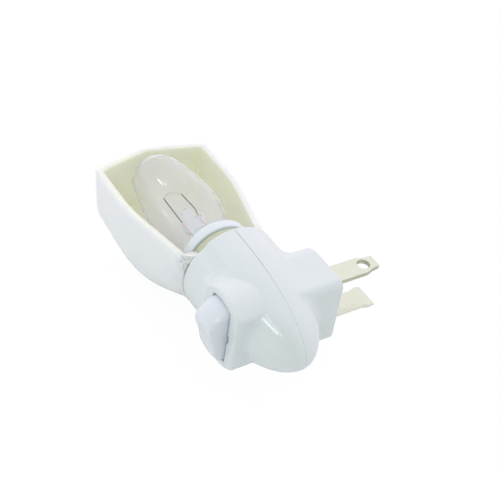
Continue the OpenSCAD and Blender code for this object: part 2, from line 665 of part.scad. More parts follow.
// Stem: a flare sealed to the neck, a tube, and a flat press through which the leads pass
press_w = 6.6;
press_t = 1.8;
module bulb_stem() color([0.9, 0.95, 1, 0.5]) in_bulb() {
    flare_r = neck_glass_r - glass_t;
    rotate_extrude() polygon([[flare_r, cap_top - 0.6], [flare_r - 0.1, cap_top + 0.6], [3.6, cap_top + 2.4],
        [2.5, cap_top + 5], [2.3, stem_top - 5], [0, stem_top - 5], [0, stem_top - 6], [1.6, stem_top - 6.5],
        [1.8, cap_top + 4.6], [2.9, cap_top + 1.8], [flare_r - 0.9, cap_top - 0.6]]);
    difference() {
        along_x(-press_t / 2, press_t / 2) polygon([[-2, stem_top - 6], [2, stem_top - 6],
            [press_w / 2, stem_top - 2], [press_w / 2, stem_top], [1.5, stem_top + 0.6],
            [1.3, stem_top + 3], [0.8, stem_top + 5], [-0.8, stem_top + 5], [-1.3, stem_top + 3],
            [-1.5, stem_top + 0.6], [-press_w / 2, stem_top], [-press_w / 2, stem_top - 2]]);
        for (s = [-1, 1]) translate([0, s * lead_y, stem_top - 4])
            cylinder(r = lead_r + 0.02, h = 6, $fn = 24);
    }
}
lead_r = 0.28;
lead_y = 2.7;
wire_top = 53.5;
// Leads, as [y, z]: one nearly straight, one bowed outwards above the press
lead_paths = [[[-lead_y, 37], [-lead_y, 41.4], [-2.75, 44], [-2.6, wire_top]],
    [[lead_y, 37], [lead_y, 41.4], [2.85, 42.2], [3.6, 45.2], [3.72, 46.2], [3.65, 47.4], [3.3, wire_top]]];
module lead_wires() color([0.25, 0.25, 0.27]) in_bulb()
    for (path = lead_paths) wire([for (q = path) [0, q[0], q[1]]], lead_r, [1, 0, 0], 12);
// Filament: a fine arc from lead to lead
module filament() color([0.6, 0.6, 0.62]) in_bulb() {
    half = 2.95 - lead_r - 0.03;
    rise = 2.2;
    arc_r = (half * half + rise * rise) / (2 * rise);
    sweep = asin(half / arc_r);
    translate([0, 0.35, wire_top - 0.3 + rise - arc_r]) rotate([90, 0, 90]) rotate([0, 0, 90 - sweep])
        rotate_extrude(angle = 2 * sweep) translate([arc_r, 0]) circle(0.14, $fn = 16);
}

cap_r = 5.9;
cap_bottom = 18.2;
cap_t = 0.35;
cap_floor_r = 4.2;
// The end contact: a flat button on a shank through the insulator
button_r = 2.4;
button_t = 0.8;
shank_r = 1.5;
module bulb_cap() color([0.80, 0.68, 0.38]) at_axis() rotate_extrude()
    polygon(concat([[cap_floor_r, cap_bottom]], wave_wall(cap_r, cap_bottom + 0.5, thread_end),
        [[cap_r, cap_top], [cap_r - cap_t, cap_top]],
        flip(wave_wall(cap_r - cap_t, cap_bottom + 0.5, thread_end)), [[cap_floor_r, cap_bottom + cap_t]]));
module cap_insulator() color([0.1, 0.1, 0.12]) at_axis() rotate_extrude()
    polygon([[shank_r, bulb_bottom + button_t], [button_r + 0.3, bulb_bottom + button_t],
        [cap_floor_r, cap_bottom - 0.3], [cap_floor_r, cap_bottom + 1], [shank_r, cap_bottom + 1]]);
module cap_contact() color([0.8, 0.8, 0.8]) at_axis() rotate_extrude()
    polygon([[0, bulb_bottom], [button_r * 0.4, bulb_bottom + button_t * 0.06],
        [button_r * 0.88, bulb_bottom + button_t * 0.55], [button_r, bulb_bottom + button_t],
        [shank_r, bulb_bottom + button_t], [shank_r, cap_bottom + 0.5], [0, cap_bottom + 0.5]]);

front_casing();
rear_casing();
socket_sleeve();
socket_shell();
hot_blade();
neutral_blade();
switch_terminal();
lamp_terminal();
fixed_contact();
neutral_strap();
strap_rivets();
contact_bar();
moving_contact();
rocker();
plunger();
plunger_spring();
shade();
bulb_glass();
bulb_stem();
lead_wires();
filament();
bulb_cap();
cap_insulator();
cap_contact();
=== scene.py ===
# %% [markdown]
# # A plug-in night light, dressed for the camera
#
# The CAD model gives every solid its size, place and motion. This lesson gives it its looks.
# Each visible piece is made again as a smooth surface, worked out with numpy on a grid of points,
# and takes over from the CAD node that it stands for. Inner pieces keep their CAD shape and get a finish.
# All sizes are in millimetres and turn into metres only when a mesh is built.

import math

import bmesh
import bpy
import numpy as np
from mathutils import Matrix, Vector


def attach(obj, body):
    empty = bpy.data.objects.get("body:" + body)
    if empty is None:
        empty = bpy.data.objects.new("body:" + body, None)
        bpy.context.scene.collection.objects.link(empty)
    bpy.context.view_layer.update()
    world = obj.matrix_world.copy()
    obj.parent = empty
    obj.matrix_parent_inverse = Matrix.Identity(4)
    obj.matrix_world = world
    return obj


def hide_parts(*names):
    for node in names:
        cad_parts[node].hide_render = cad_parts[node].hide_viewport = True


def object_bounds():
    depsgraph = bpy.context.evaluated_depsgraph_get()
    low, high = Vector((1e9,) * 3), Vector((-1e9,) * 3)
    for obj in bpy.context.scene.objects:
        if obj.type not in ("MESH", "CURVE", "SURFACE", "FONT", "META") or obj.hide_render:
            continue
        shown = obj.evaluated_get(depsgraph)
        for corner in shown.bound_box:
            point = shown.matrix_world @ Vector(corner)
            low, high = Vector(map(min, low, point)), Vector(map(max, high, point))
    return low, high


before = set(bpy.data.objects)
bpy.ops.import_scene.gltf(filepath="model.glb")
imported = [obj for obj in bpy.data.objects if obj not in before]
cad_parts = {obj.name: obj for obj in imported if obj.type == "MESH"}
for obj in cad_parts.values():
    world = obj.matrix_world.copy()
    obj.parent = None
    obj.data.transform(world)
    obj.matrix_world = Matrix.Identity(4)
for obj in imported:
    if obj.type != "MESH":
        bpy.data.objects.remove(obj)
cad_box = [list(corner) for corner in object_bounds()]
print("CAD box, mm:", [[round(v * 1000, 2) for v in corner] for corner in cad_box])

# %% [markdown]
# ## The camera
#
# The light lies on its side and is seen from below and in front of its plug.
# The camera could be aimed at a target, but a solved view is better given as its three axes,
# because aiming loses the roll. The lens follows from the focal length in pixels, the width of the
# frame in pixels and the width of the sensor.

# %% Camera
FRAME_PIXELS, FOCAL_PIXELS, SENSOR = 500, 1075.01, 36
camera_right = (0.116968, 0.852830, -0.508920)
camera_up = (0.748998, 0.260753, 0.609106)
camera_back = (0.652166, -0.452426, -0.608269)
camera_place = (0.1966415, -0.1455493, -0.1594993)

camera_data = bpy.data.cameras.new("camera")
camera_data.sensor_width = SENSOR
camera_data.lens = SENSOR * FOCAL_PIXELS / FRAME_PIXELS
camera_data.clip_start = 0.01
camera = bpy.data.objects.new("camera", camera_data)
camera_turn = Matrix([camera_right, camera_up, camera_back]).transposed()
camera.matrix_world = Matrix.Translation(camera_place) @ camera_turn.to_4x4()
bpy.context.scene.collection.objects.link(camera)
bpy.context.scene.camera = camera
bpy.context.scene.view_settings.view_transform = "Standard"
print("lens, mm:", round(camera_data.lens, 2))

# %% [markdown]
# ## Grids of points
#
# Almost every piece here is one sheet of points: rows in one direction, columns in the other.
# A sheet can be rolled up so that its last column meets its first, its last row can meet its first too,
# and a row that shrinks to one point closes it as a pole. Modifiers could round a box instead, but a sheet
# puts its points where the form bends. Merging doubled points and working out the normals again makes
# any such sheet a clean skin whose faces point outwards.

# %% From sheets of points to a piece
MM = 0.001
MERGE = 2e-6


def sheet_faces(rows, cols, roll_cols, roll_rows):
    """Quads between neighbouring rows and columns; a rolled direction also joins last to first."""
    i = np.arange(rows if roll_rows else rows - 1)[:, None]
    j = np.arange(cols if roll_cols else cols - 1)[None, :]
    k = (i + 1) % rows
    m = (j + 1) % cols
    quads = np.stack([i * cols + j, i * cols + m, k * cols + m, k * cols + j], axis=-1)
    return quads.reshape(-1, 4)


def sheets_to_mesh(name, sheets):
    """Mesh of sheets (points in mm, columns rolled, rows rolled, material number or one number a face)."""
    points, faces, numbers, start = [], [], [], 0
    for sheet, roll_cols, roll_rows, number in sheets:
        rows, cols = sheet.shape[:2]
        quads = sheet_faces(rows, cols, roll_cols, roll_rows)
        points.append(sheet.reshape(-1, 3) * MM)
        faces.append(quads + start)
        numbers.append(np.zeros(len(quads), np.int32) + np.ravel(number).astype(np.int32))
        start += rows * cols
    mesh = bpy.data.meshes.new(name)
    mesh.from_pydata(np.concatenate(points).tolist(), [], np.concatenate(faces).tolist())
    mesh.polygons.foreach_set("material_index", np.concatenate(numbers))
    work = bmesh.new()
    work.from_mesh(mesh)
    bmesh.ops.remove_doubles(work, verts=work.verts, dist=MERGE)
    bmesh.ops.recalc_face_normals(work, faces=work.faces)
    work.to_mesh(mesh)
    work.free()
    return mesh


def build_piece(name, sheets, body, replaced=(), materials=(), sharp=None):
    """One object from its sheets, which rides on a body and may stand for CAD nodes. Edges that bend by
    more than sharp degrees stay crisp."""
    mesh = sheets_to_mesh(name, sheets)
    for material in materials:
        mesh.materials.append(material)
    mesh.shade_smooth()
    if sharp is not None:
        mesh.set_sharp_from_angle(angle=math.radians(sharp))
    piece = bpy.data.objects.new(name, mesh)
    bpy.context.scene.collection.objects.link(piece)
    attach(piece, body)
    if replaced:
        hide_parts(*replaced)
    print(f"{name}: {len(mesh.vertices)} points, {len(mesh.polygons)} faces")


print("a rolled sheet of 4 x 5 points has", len(sheet_faces(4, 5, True, False)), "faces")

# %% [markdown]
# ## Profiles and round corners
#
# A turned piece is one profile carried round an axis. Its corners are rounded in the profile itself, with
# a curve that heads for the corner and bends away before it, so that no bevel is needed afterwards.

# %% Curves, corners and turned pieces
AXIS_Y = -18.4


def unit(v):
    """Vectors of length 1 that point the same ways."""
    return v / np.maximum(np.linalg.norm(v, axis=-1, keepdims=True), 1e-9)


def bend(a, corner, b, t):
    """Quadratic curve from a (t = 0) to b (t = 1) that leaves and arrives along the sides of the corner."""
    return (1 - t) ** 2 * a + 2 * t * (1 - t) * corner + t ** 2 * b


def round_corners(points, radius, steps=5):
    """Closed polygon whose corners are curves: each leaves its side a radius (or less) before the corner."""
    points = np.asarray(points, dtype=float)
    t = np.linspace(0, 1, steps + 1)[:, None]
    out = []
    for i, r in enumerate(np.broadcast_to(radius, len(points))):
        here = points[i]
        before, after = points[i - 1] - here, points[(i + 1) % len(points)] - here
        cut = min(r, 0.49 * np.hypot(*before), 0.49 * np.hypot(*after))
        out.extend(bend(here + unit(before) * cut, here, here + unit(after) * cut, t) if r else [here])
    return np.array(out)


def lathe(profile, segments=128, centre=(0.0, AXIS_Y)):
    """Sheet from a profile of (radius, height): each point is carried once round the upright axis."""
    profile = np.asarray(profile, dtype=float)
    angle = np.linspace(0, 2 * np.pi, segments, endpoint=False)
    x = centre[0] + profile[:, :1] * np.cos(angle)
    y = centre[1] + profile[:, :1] * np.sin(angle)
    z = np.repeat(profile[:, 1:], segments, axis=1)
    return np.stack([x, y, z], axis=-1)


print("a square with round corners has", len(round_corners([(0, 0), (1, 0), (1, 1), (0, 1)], 0.2)), "points")

# %% [markdown]
# ## Shader groups
#
# Moulded plastic is never perfectly even. It has a fine ripple from the mould, faint flow marks,
# and its gloss wanders a little. One node group works these out from the place on the object
# and hands them to each material, which sets its own strengths. The same nodes could be copied into
# every material, but a group is built once and mended once.

# %% Node helpers
def feed(tree, socket, value):
    """Gives an input a plain value, or links it to the output of another node."""
    if isinstance(value, bpy.types.NodeSocket):
        tree.links.new(value, socket)
    else:
        socket.default_value = value


def add_node(tree, kind, *values, **settings):
    """A shader node. Settings name its properties and inputs, and plain values fill its inputs in order."""
    node = tree.nodes.new(kind)
    for key, value in settings.items():
        if hasattr(node, key):
            setattr(node, key, value)
        else:
            feed(tree, node.inputs[key.replace("_", " ")], value)
    for socket, value in zip(node.inputs, values):
        feed(tree, socket, value)
    return node


def maths(tree, operation, *values):
    """Output of one Math node."""
    return add_node(tree, "ShaderNodeMath", *values, operation=operation).outputs[0]


def mix_colours(tree, factor, a, b):
    """Colour that runs from a to b."""
    return add_node(tree, "ShaderNodeMix", data_type="RGBA", Factor=factor, A=a, B=b).outputs["Result"]


def mix_shaders(tree, factor, a, b):
    """Shader that runs from a to b."""
    return add_node(tree, "ShaderNodeMixShader", factor, a, b).outputs[0]


# %% Surface group: colour drift, gloss drift and height
NUMBER, COLOUR = "NodeSocketFloat", "NodeSocketColor"
RIPPLE_SCALE, RIPPLE_HEIGHT = 1800.0, 0.0002


def make_surface_group():
    """Colour: the base moved towards a tint by a slow noise. Roughness: the gloss, moved by the same noise.
    Height: a very fine ripple on top of that slow waviness."""
    group = bpy.data.node_groups.new("moulded_surface", "ShaderNodeTree")
    for title, kind, default in (
            ("Base", COLOUR, (0.8, 0.8, 0.8, 1)), ("Tint", COLOUR, (0.7, 0.7, 0.7, 1)),
            ("Drift", NUMBER, 0.3), ("Gloss", NUMBER, 0.3), ("Gloss drift", NUMBER, 0.08),
            ("Fine scale", NUMBER, RIPPLE_SCALE), ("Slow scale", NUMBER, 90.0), ("Fine height", NUMBER, 0.3)):
        group.interface.new_socket(title, in_out="INPUT", socket_type=kind).default_value = default
    for title, kind in (("Color", COLOUR), ("Roughness", NUMBER), ("Height", NUMBER)):
        group.interface.new_socket(title, in_out="OUTPUT", socket_type=kind)
    given = group.nodes.new("NodeGroupInput").outputs
    place = group.nodes.new("ShaderNodeTexCoord").outputs["Object"]
    slow = add_node(group, "ShaderNodeTexNoise", Vector=place, Scale=given["Slow scale"], Detail=4.0,
                    Roughness=0.55).outputs["Fac"]
    fine = add_node(group, "ShaderNodeTexNoise", Vector=place, Scale=given["Fine scale"], Detail=3.0,
                    Roughness=0.6).outputs["Fac"]
    tinted = mix_colours(group, maths(group, "MULTIPLY", slow, given["Drift"]), given["Base"], given["Tint"])
    centred = maths(group, "SUBTRACT", slow, 0.5)
    rough = maths(group, "MULTIPLY_ADD", centred, given["Gloss drift"], given["Gloss"])
    height = maths(group, "MULTIPLY_ADD", fine, given["Fine height"], slow)
    add_node(group, "NodeGroupOutput", Color=tinted, Roughness=rough, Height=height)
    return group


surface_group = make_surface_group()
print("surface group has", len(surface_group.nodes), "nodes")

# %% [markdown]
# ## Finishes
#
# The casing is glossy white with a hint of blue, the rocker a shade bluer, and the shade ivory, soft and
# slightly translucent, so that light wanders a few millimetres into it. The blades are plated brass. Each
# finish is a base colour with a tint that it drifts towards, and a gloss. A single flat colour would look
# like a drawing, and an image of the surface would tie the finish to one piece.

# %% Finish maker
def finish(name, base, tint, drift=0.3, gloss=0.3, gloss_drift=0.1, slow=90.0, fine_height=0.3, bump=0.05,
           **sockets):
    """A Principled material whose colour, roughness and bump come from the surface group."""
    material = bpy.data.materials.new(name)
    material.use_nodes = True
    tree = material.node_tree
    skin = add_node(tree, "ShaderNodeGroup", node_tree=surface_group, Base=(*base, 1), Tint=(*tint, 1),
                    Drift=drift, Gloss=gloss, Gloss_drift=gloss_drift, Fine_scale=RIPPLE_SCALE,
                    Slow_scale=slow, Fine_height=fine_height).outputs
    relief = add_node(tree, "ShaderNodeBump", Strength=bump, Distance=RIPPLE_HEIGHT, Height=skin["Height"])
    driven = {"Base_Color": skin["Color"], "Roughness": skin["Roughness"], "Normal": relief.outputs["Normal"]}
    for title, value in {**driven, **sockets}.items():
        feed(tree, tree.nodes["Principled BSDF"].inputs[title.replace("_", " ")], value)
    return material


# %% Plastic finishes
SOFT = {"Subsurface_Weight": 1.0, "Subsurface_Scale": 0.004}
casing_white = finish("casing_white", (0.78, 0.82, 0.86), (0.74, 0.79, 0.82), drift=0.5, gloss=0.08,
                      gloss_drift=0.05, slow=60.0, bump=0.02)
rocker_white = finish("rocker_white", (0.79, 0.82, 0.90), (0.77, 0.81, 0.88), drift=0.5, gloss=0.14,
                      bump=0.02)
# The shade is one ivory plastic. Its outside gets a bluer, whiter copy and its inside a yellower copy:
# painted light for the white room reflected outside and the light bounced round inside the bowl.
shade_outside_room_tinted = finish("shade_outside_room_tinted", (0.83, 0.85, 0.91), (0.81, 0.83, 0.87), drift=0.5, gloss=0.25,
                       slow=40.0, bump=0.02, Subsurface_Radius=(1.0, 0.95, 0.75), **SOFT)
shade_inside_bounce_tinted = finish("shade_inside_bounce_tinted", (0.91, 0.92, 0.80), (0.89, 0.90, 0.74), drift=0.5, gloss=0.30,
                      slow=50.0, bump=0.03, Subsurface_Radius=(1.0, 0.95, 0.70), **SOFT)
shade_lug = finish("shade_lug", (0.84, 0.85, 0.84), (0.82, 0.83, 0.80), drift=0.5, gloss=0.25)
# The shade's floor and ring are the same ivory plastic as the bowl. This darker olive copy is painted shade
# for the groove under the collar.
shade_floor_painted_shade = finish("shade_floor_painted_shade", (0.58, 0.59, 0.43), (0.54, 0.55, 0.38), drift=0.5, gloss=0.35)
sleeve_cream = finish("sleeve_cream", (0.80, 0.85, 0.92), (0.78, 0.83, 0.88), drift=0.5, gloss=0.35)
print("light wanders so far into the shade, mm:", SOFT["Subsurface_Scale"] / MM)

# %% Metal and glass finishes
blade_metal = finish("blade_metal", (0.82, 0.83, 0.75), (0.74, 0.75, 0.62), drift=0.8, gloss=0.30,
                     gloss_drift=0.25, slow=300.0, bump=0.15, Metallic=1.0)
# The same plated brass made darker: painted shade for the dark outline along the blade's edges.
blade_edge_painted_shade = finish("blade_edge_painted_shade", (0.58, 0.60, 0.48), (0.46, 0.48, 0.34), drift=0.8, gloss=0.40,
                    slow=300.0, bump=0.15, Metallic=1.0)
strip_brass = finish("strip_brass", (0.80, 0.62, 0.30), (0.66, 0.48, 0.22), drift=0.7, gloss=0.28,
                     gloss_drift=0.2, slow=250.0, Metallic=1.0)
cap_brass = finish("cap_brass", (0.80, 0.70, 0.42), (0.66, 0.56, 0.30), drift=0.7, gloss=0.25,
                   gloss_drift=0.2, slow=220.0, Metallic=1.0)
silver = finish("silver", (0.84, 0.84, 0.84), (0.70, 0.70, 0.70), gloss=0.2, Metallic=1.0)
spring_steel = finish("spring_steel", (0.62, 0.63, 0.65), (0.5, 0.5, 0.52), gloss=0.28, Metallic=1.0)
solder = finish("solder", (0.62, 0.62, 0.64), (0.5, 0.5, 0.52), drift=0.8, gloss=0.4, slow=700.0, bump=0.3,
                Metallic=1.0)
lead_dark = finish("lead_dark", (0.05, 0.05, 0.055), (0.10, 0.09, 0.09), drift=0.6, gloss=0.35, Metallic=0.9)
lead_pink = finish("lead_pink", (0.86, 0.55, 0.62), (0.80, 0.48, 0.55), gloss=0.3)
black_glass = finish("black_glass", (0.012, 0.012, 0.014), (0.02, 0.02, 0.02), gloss=0.12)
bulb_clear = finish("bulb_clear", (0.96, 0.96, 1.0), (0.95, 0.95, 1.0), drift=0.2, gloss=0.02,
                    gloss_drift=0.0, slow=60.0, fine_height=0.0, bump=0.0, Transmission_Weight=0.92, IOR=1.46)
stem_glass = finish("stem_glass", (0.94, 0.96, 1.0), (0.88, 0.91, 1.0), drift=0.4, gloss=0.06,
                    gloss_drift=0.05, slow=900.0, fine_height=0.2, bump=0.3, Transmission_Weight=0.85,
                    IOR=1.5)
print("finishes in all:", len(bpy.data.materials))

# %% [markdown]
# ## Light through the glass
#
# A blown bulb is so thin that it hardly shades what stands behind it, but a renderer that traces light
# through it at every bounce gives noise and a dark shadow. Here rays that only carry light to other
# surfaces pass straight on. Where the wall is seen edge on, and over its thick neck, a share of plain
# white is mixed into the clear glass: painted light for the bright room reflected in it.

# %% The glass lets light through to what lies behind it
EDGE_FROM = 0.72
NECK_LOW, NECK_HIGH = 0.030, 0.043


def clear_for_light(material, rim=0.0, neck=0.0):
    """Shadow and diffuse rays pass through. For all others a share of plain white, painted reflection of the
    bright room, is mixed in: up to rim where it is seen edge on, up to neck from 43 mm down to 30 mm above
    the plug's middle."""
    tree = material.node_tree
    path = tree.nodes.new("ShaderNodeLightPath").outputs
    passing = maths(tree, "MAXIMUM", path["Is Shadow Ray"], path["Is Diffuse Ray"])
    through = add_node(tree, "ShaderNodeBsdfTransparent", Color=(0.97, 0.97, 0.98, 1)).outputs[0]
    # Plain white mixed into the glass: painted reflection of the bright room.
    painted_reflection = add_node(tree, "ShaderNodeBsdfDiffuse", Color=(0.92, 0.92, 0.96, 1)).outputs[0]
    facing = tree.nodes.new("ShaderNodeLayerWeight").outputs["Facing"]
    side_on = add_node(tree, "ShaderNodeMapRange", Value=facing, From_Min=EDGE_FROM, To_Max=rim)
    place = tree.nodes.new("ShaderNodeTexCoord").outputs["Object"]
    up = add_node(tree, "ShaderNodeSeparateXYZ", place).outputs["Z"]
    low = add_node(tree, "ShaderNodeMapRange", Value=up, From_Min=NECK_HIGH, From_Max=NECK_LOW, To_Max=neck)
    reflection_share = maths(tree, "MAXIMUM", side_on.outputs["Result"], low.outputs["Result"])
    glass = mix_shaders(tree, reflection_share, tree.nodes["Principled BSDF"].outputs[0], painted_reflection)
    feed(tree, tree.nodes["Material Output"].inputs["Surface"], mix_shaders(tree, passing, glass, through))
    print(material.name, "lets light through, rim", rim, "neck", neck)


# The bulb takes up to 0.9 of painted reflection where seen edge on and 0.1 over its neck.
clear_for_light(bulb_clear, 0.9, 0.10)
clear_for_light(stem_glass)

# %% [markdown]
# ## Finishes on the CAD nodes
#
# Strips, contacts, springs and the bulb's cap are hidden in use and already have their true shape in CAD.
# They keep their meshes and only get a finish. The other nodes get one too, for anyone who shows the CAD
# shape instead of the piece that stands for it.

# %% Inner CAD nodes take their finishes
node_finish = [
    (casing_white, ["front_casing", "rear_casing"]), (rocker_white, ["rocker"]), (shade_inside_bounce_tinted, ["shade"]),
    (sleeve_cream, ["socket_sleeve"]), (blade_metal, ["hot_blade", "neutral_blade"]),
    (strip_brass, ["switch_terminal", "lamp_terminal", "neutral_strap", "contact_bar", "plunger"]),
    (silver, ["fixed_contact", "moving_contact", "strap_rivets"]), (cap_brass, ["socket_shell", "bulb_cap"]),
    (spring_steel, ["plunger_spring", "filament"]), (black_glass, ["cap_insulator"]),
    (solder, ["cap_contact"]), (lead_dark, ["lead_wires"]), (stem_glass, ["bulb_stem"]),
    (bulb_clear, ["bulb_glass"]),
]
for material, nodes in node_finish:
    for node in nodes:
        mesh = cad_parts[node].data
        mesh.materials.clear()
        mesh.materials.append(material)
print("finishes given to", sum(len(nodes) for _, nodes in node_finish), "nodes")

# %% [markdown]
# ## The casing as one field
#
# The two halves are cast as one flowing form: a round body that ends in a dome, a boss for the switch
# and a block for the blades, all run into each other with soft fillets. Filleting such edges by hand is
# fussy. Here each form is a field: a number at every point in space that is negative inside, zero on the
# skin and grows outwards like a distance. Two fields join smoothly by a rounded minimum, and a sheet of
# rays from the middle finds where the joined field is zero.

# %% Rounding where two surfaces meet
def round_both(a, b, edge):
    """Field inside both a and b with their common edge rounded: beyond the edge it is the length of (a, b).
    Also gives how much each of the two steers the result."""
    a, b = a + edge, b + edge
    pa, pb = np.maximum(a, 0), np.maximum(b, 0)
    length = np.hypot(pa, pb)
    corner = (a > 0) & (b > 0)
    field = np.minimum(np.maximum(a, b), 0) + length - edge
    safe = np.maximum(length, 1e-9)
    return field, np.where(corner, pa / safe, a >= b), np.where(corner, pb / safe, a < b)


def soft_min(a, b, reach):
    """The smaller of two values, rounded over where they are closer than reach."""
    k = np.maximum(reach - np.abs(a - b), 0) / reach
    return np.minimum(a, b) - k * k * reach / 4


print("two equal values of 1, rounded over 0.4:", soft_min(1.0, 1.0, 0.4))

# %% Body, dome and flutes
BODY_R, DECK_Z, DOME_START, DOME_LEN = 14.0, 20.2, 14.3, 33.6
ROUND_POWER, DEPTH_POWER, DECK_EDGE = 1.89, 2.15, 0.5
FLUTE_R, FLUTE_DEPTH, FLUTE_END, FLUTE_RUN_OUT, FLUTE_LIP = 8.0, 0.55, 11.0, 0.11, 0.12
FLUTE_TURNS = (-42.5, 42.5, 137.5, 222.5)


def flute_field(p):
    """Field of the four upright scoops on the shoulders: round cylinders outside the body that cut into it,
    and whose floor moves out of the body below the flutes' end."""
    x, y = p[..., 0], p[..., 1] - AXIS_Y
    floor = BODY_R - FLUTE_DEPTH + FLUTE_RUN_OUT * np.maximum(FLUTE_END - p[..., 2], 0)
    axis = BODY_R - FLUTE_DEPTH + FLUTE_R
    scoops = []
    for turn in np.radians(FLUTE_TURNS):
        out = x * math.cos(turn) + y * math.sin(turn)
        across = y * math.cos(turn) - x * math.sin(turn)
        scoops.append(np.maximum(np.hypot(across, axis - out) - FLUTE_R, floor - out))
    return np.min(scoops, axis=0)


def body_field(p):
    """Round body: (radius / 14)^1.89 + depth^2.15 = 1 below the shoulders, flat deck on top, four flutes."""
    x, y, z = p[..., 0], p[..., 1] - AXIS_Y, p[..., 2]
    radius = np.maximum(np.hypot(x, y), 1e-6)
    depth = np.maximum((DOME_START - z) / DOME_LEN, 0)
    level = (radius / BODY_R) ** ROUND_POWER + depth ** DEPTH_POWER - 1
    slope_r = ROUND_POWER / BODY_R * (radius / BODY_R) ** (ROUND_POWER - 1)
    slope_z = -DEPTH_POWER / DOME_LEN * depth ** (DEPTH_POWER - 1)
    slope = np.hypot(slope_r, slope_z) + 1e-5
    wall = -soft_min(-np.maximum(level / slope, -20), flute_field(p), FLUTE_LIP)
    field, wa, wb = round_both(wall, z - DECK_Z, DECK_EDGE)
    out = wa * slope_r / slope
    return field, np.stack([out * x / radius, out * y / radius, wa * slope_z / slope + wb], axis=-1)


print("field on the body's axis, mm:", body_field(np.array([0.0, AXIS_Y, 0.0]))[0].round(2))

# %% Boss and block
BOSS_R, BOSS_LOW, BOSS_HIGH, BOSS_FACE, BOSS_CORNER, BOSS_EDGE = 11.8, -7.1, 9.6, -32.4, 0.7, 0.9
BLOCK_HALF_W, BLOCK_LOW, BLOCK_HIGH, LOW_CORNER, HIGH_CORNER, BLOCK_EDGE = 10.65, -7.2, 11.9, 2.4, 6.0, 0.6
BOSS_FILLET, BLOCK_FILLET, SWITCH_Z = 1.4, 2.8, 1.0


def boss_field(p):
    """Round disc about the switch, cut flat above and below, from the body's axis to the boss's face."""
    x, z = p[..., 0], p[..., 2] - SWITCH_Z
    reach = np.maximum(np.hypot(x, z), 1e-6)
    cut = np.maximum(p[..., 2] - BOSS_HIGH, BOSS_LOW - p[..., 2])
    flat, wr, wf = round_both(reach - BOSS_R, cut, BOSS_CORNER)
    up = np.where(p[..., 2] > (BOSS_LOW + BOSS_HIGH) / 2, 1, -1)
    field, wa, wb = round_both(flat, BOSS_FACE - p[..., 1], BOSS_EDGE)
    grad = np.stack([wa * wr * x / reach, -wb, wa * (wr * z / reach + wf * up)], axis=-1)
    return np.maximum(field, p[..., 1] - AXIS_Y), grad


def block_field(p):
    """Rectangle across X and Z with wider corners above than below, from the body's axis to the plug face."""
    x, up = p[..., 0], p[..., 2] - (BLOCK_LOW + BLOCK_HIGH) / 2
    corner = np.where(up > 0, HIGH_CORNER, LOW_CORNER)
    half_h = (BLOCK_HIGH - BLOCK_LOW) / 2
    flat, wx, wz = round_both(np.abs(x) - BLOCK_HALF_W, np.abs(up) - half_h, corner)
    field, wa, wb = round_both(flat, p[..., 1], BLOCK_EDGE)
    grad = np.stack([wa * wx * np.sign(x), wb, wa * wz * np.sign(up)], axis=-1)
    return np.maximum(field, AXIS_Y - p[..., 1]), grad


def join(a, b, reach):
    """Rounded minimum of two fields. The fillet is full where their skins cross square and fades where
    they run side by side, so that flush faces stay flat."""
    (fa, ga), (fb, gb) = a, b
    reach = reach * np.clip(1.5 - 1.5 * np.sum(ga * gb, axis=-1), 0, 1) + 1e-6
    near = np.maximum(reach - np.abs(fa - fb), 0) / reach / 2
    share = np.where(fa < fb, 1 - near, near)[..., None]
    return soft_min(fa, fb, reach), unit(ga * share + gb * (1 - share))


def casing_field(p):
    """Body, boss and block as one field, with its direction."""
    return join(join(body_field(p), boss_field(p), BOSS_FILLET), block_field(p), BLOCK_FILLET)


print("field 30 mm in front of the plug face:", casing_field(np.array([0.0, -30.0, SWITCH_Z]))[0].round(2))

# %% Where rays meet the skin
CORE = np.array([0.0, AXIS_Y, 1.5])
WALL, CHEEK_Y = 1.8, -26.8


def skin_points(start, rays, field, steps=26, far=48.0):
    """Where each ray from the start leaves the field's inside: the stretch that holds the change of sign is
    halved again and again."""
    near, away = np.zeros(rays.shape[:-1]), np.full(rays.shape[:-1], far)
    for _ in range(steps):
        middle = (near + away) / 2
        inside = field(start + rays * middle[..., None]) < 0
        near, away = np.where(inside, middle, near), np.where(inside, away, middle)
    return start + rays * ((near + away) / 2)[..., None]


def skin_field(p):
    """Zero on the casing's skin."""
    return casing_field(p)[0]


def wall_field(p):
    """Zero on the inner side of the wall."""
    return casing_field(p)[0] + WALL


def front_hollow(p):
    """Zero round the space inside the front half, which also ends behind the switch's cheeks."""
    return np.maximum(wall_field(p), CHEEK_Y - p[..., 1])


dome_end = skin_points(CORE, np.array([[0.0, 0.0, -1.0]]), skin_field)
print("lowest point of the dome, z:", dome_end[0, 2].round(2))

# %% [markdown]
# ## Rays that follow the edges
#
# Each half of the casing is a fan of rays. Its first row follows the rocker's opening, or starts from a
# point in the middle of the plug face. Its last row follows the joint between the halves and the round
# hole in the top. Between them a ray turns evenly, and the rows are then spaced by how much the skin
# bends, so that tight edges get their points. Behind the skin an inner wall closes the shell. A remesh of
# the whole field would be simpler, but it would blur the joint and the opening's lip.

# %% Columns of the fan
FAN_STOPS = [0, 13.77, 15.26, 24.6, 36.1, 42, 60, 63.17, 66, 90, 114, 116.83, 120, 140, 164.74, 166.23, 180]
FAN_STEPS = [10, 4, 12, 10, 6, 16, 5, 5, 16, 16, 5, 5, 14, 16, 4, 10]


def spread(stops, counts):
    """Angles from stop to stop, with so many even steps in each stretch."""
    return np.concatenate([np.linspace(*stops[i:i + 2], n, endpoint=False) for i, n in enumerate(counts)])


half_fan = spread(FAN_STOPS, FAN_STEPS)
fan = np.sort(np.radians(np.concatenate([half_fan, 360 - half_fan[:0:-1], [180.0]])))
print("columns:", len(fan))


# %% The rocker's opening
OPENING_R, OPENING_H, NOTCH_W, NOTCH_H, NOTCH_ROUND = 9.8, 4.42, 1.3, 0.6, 0.3


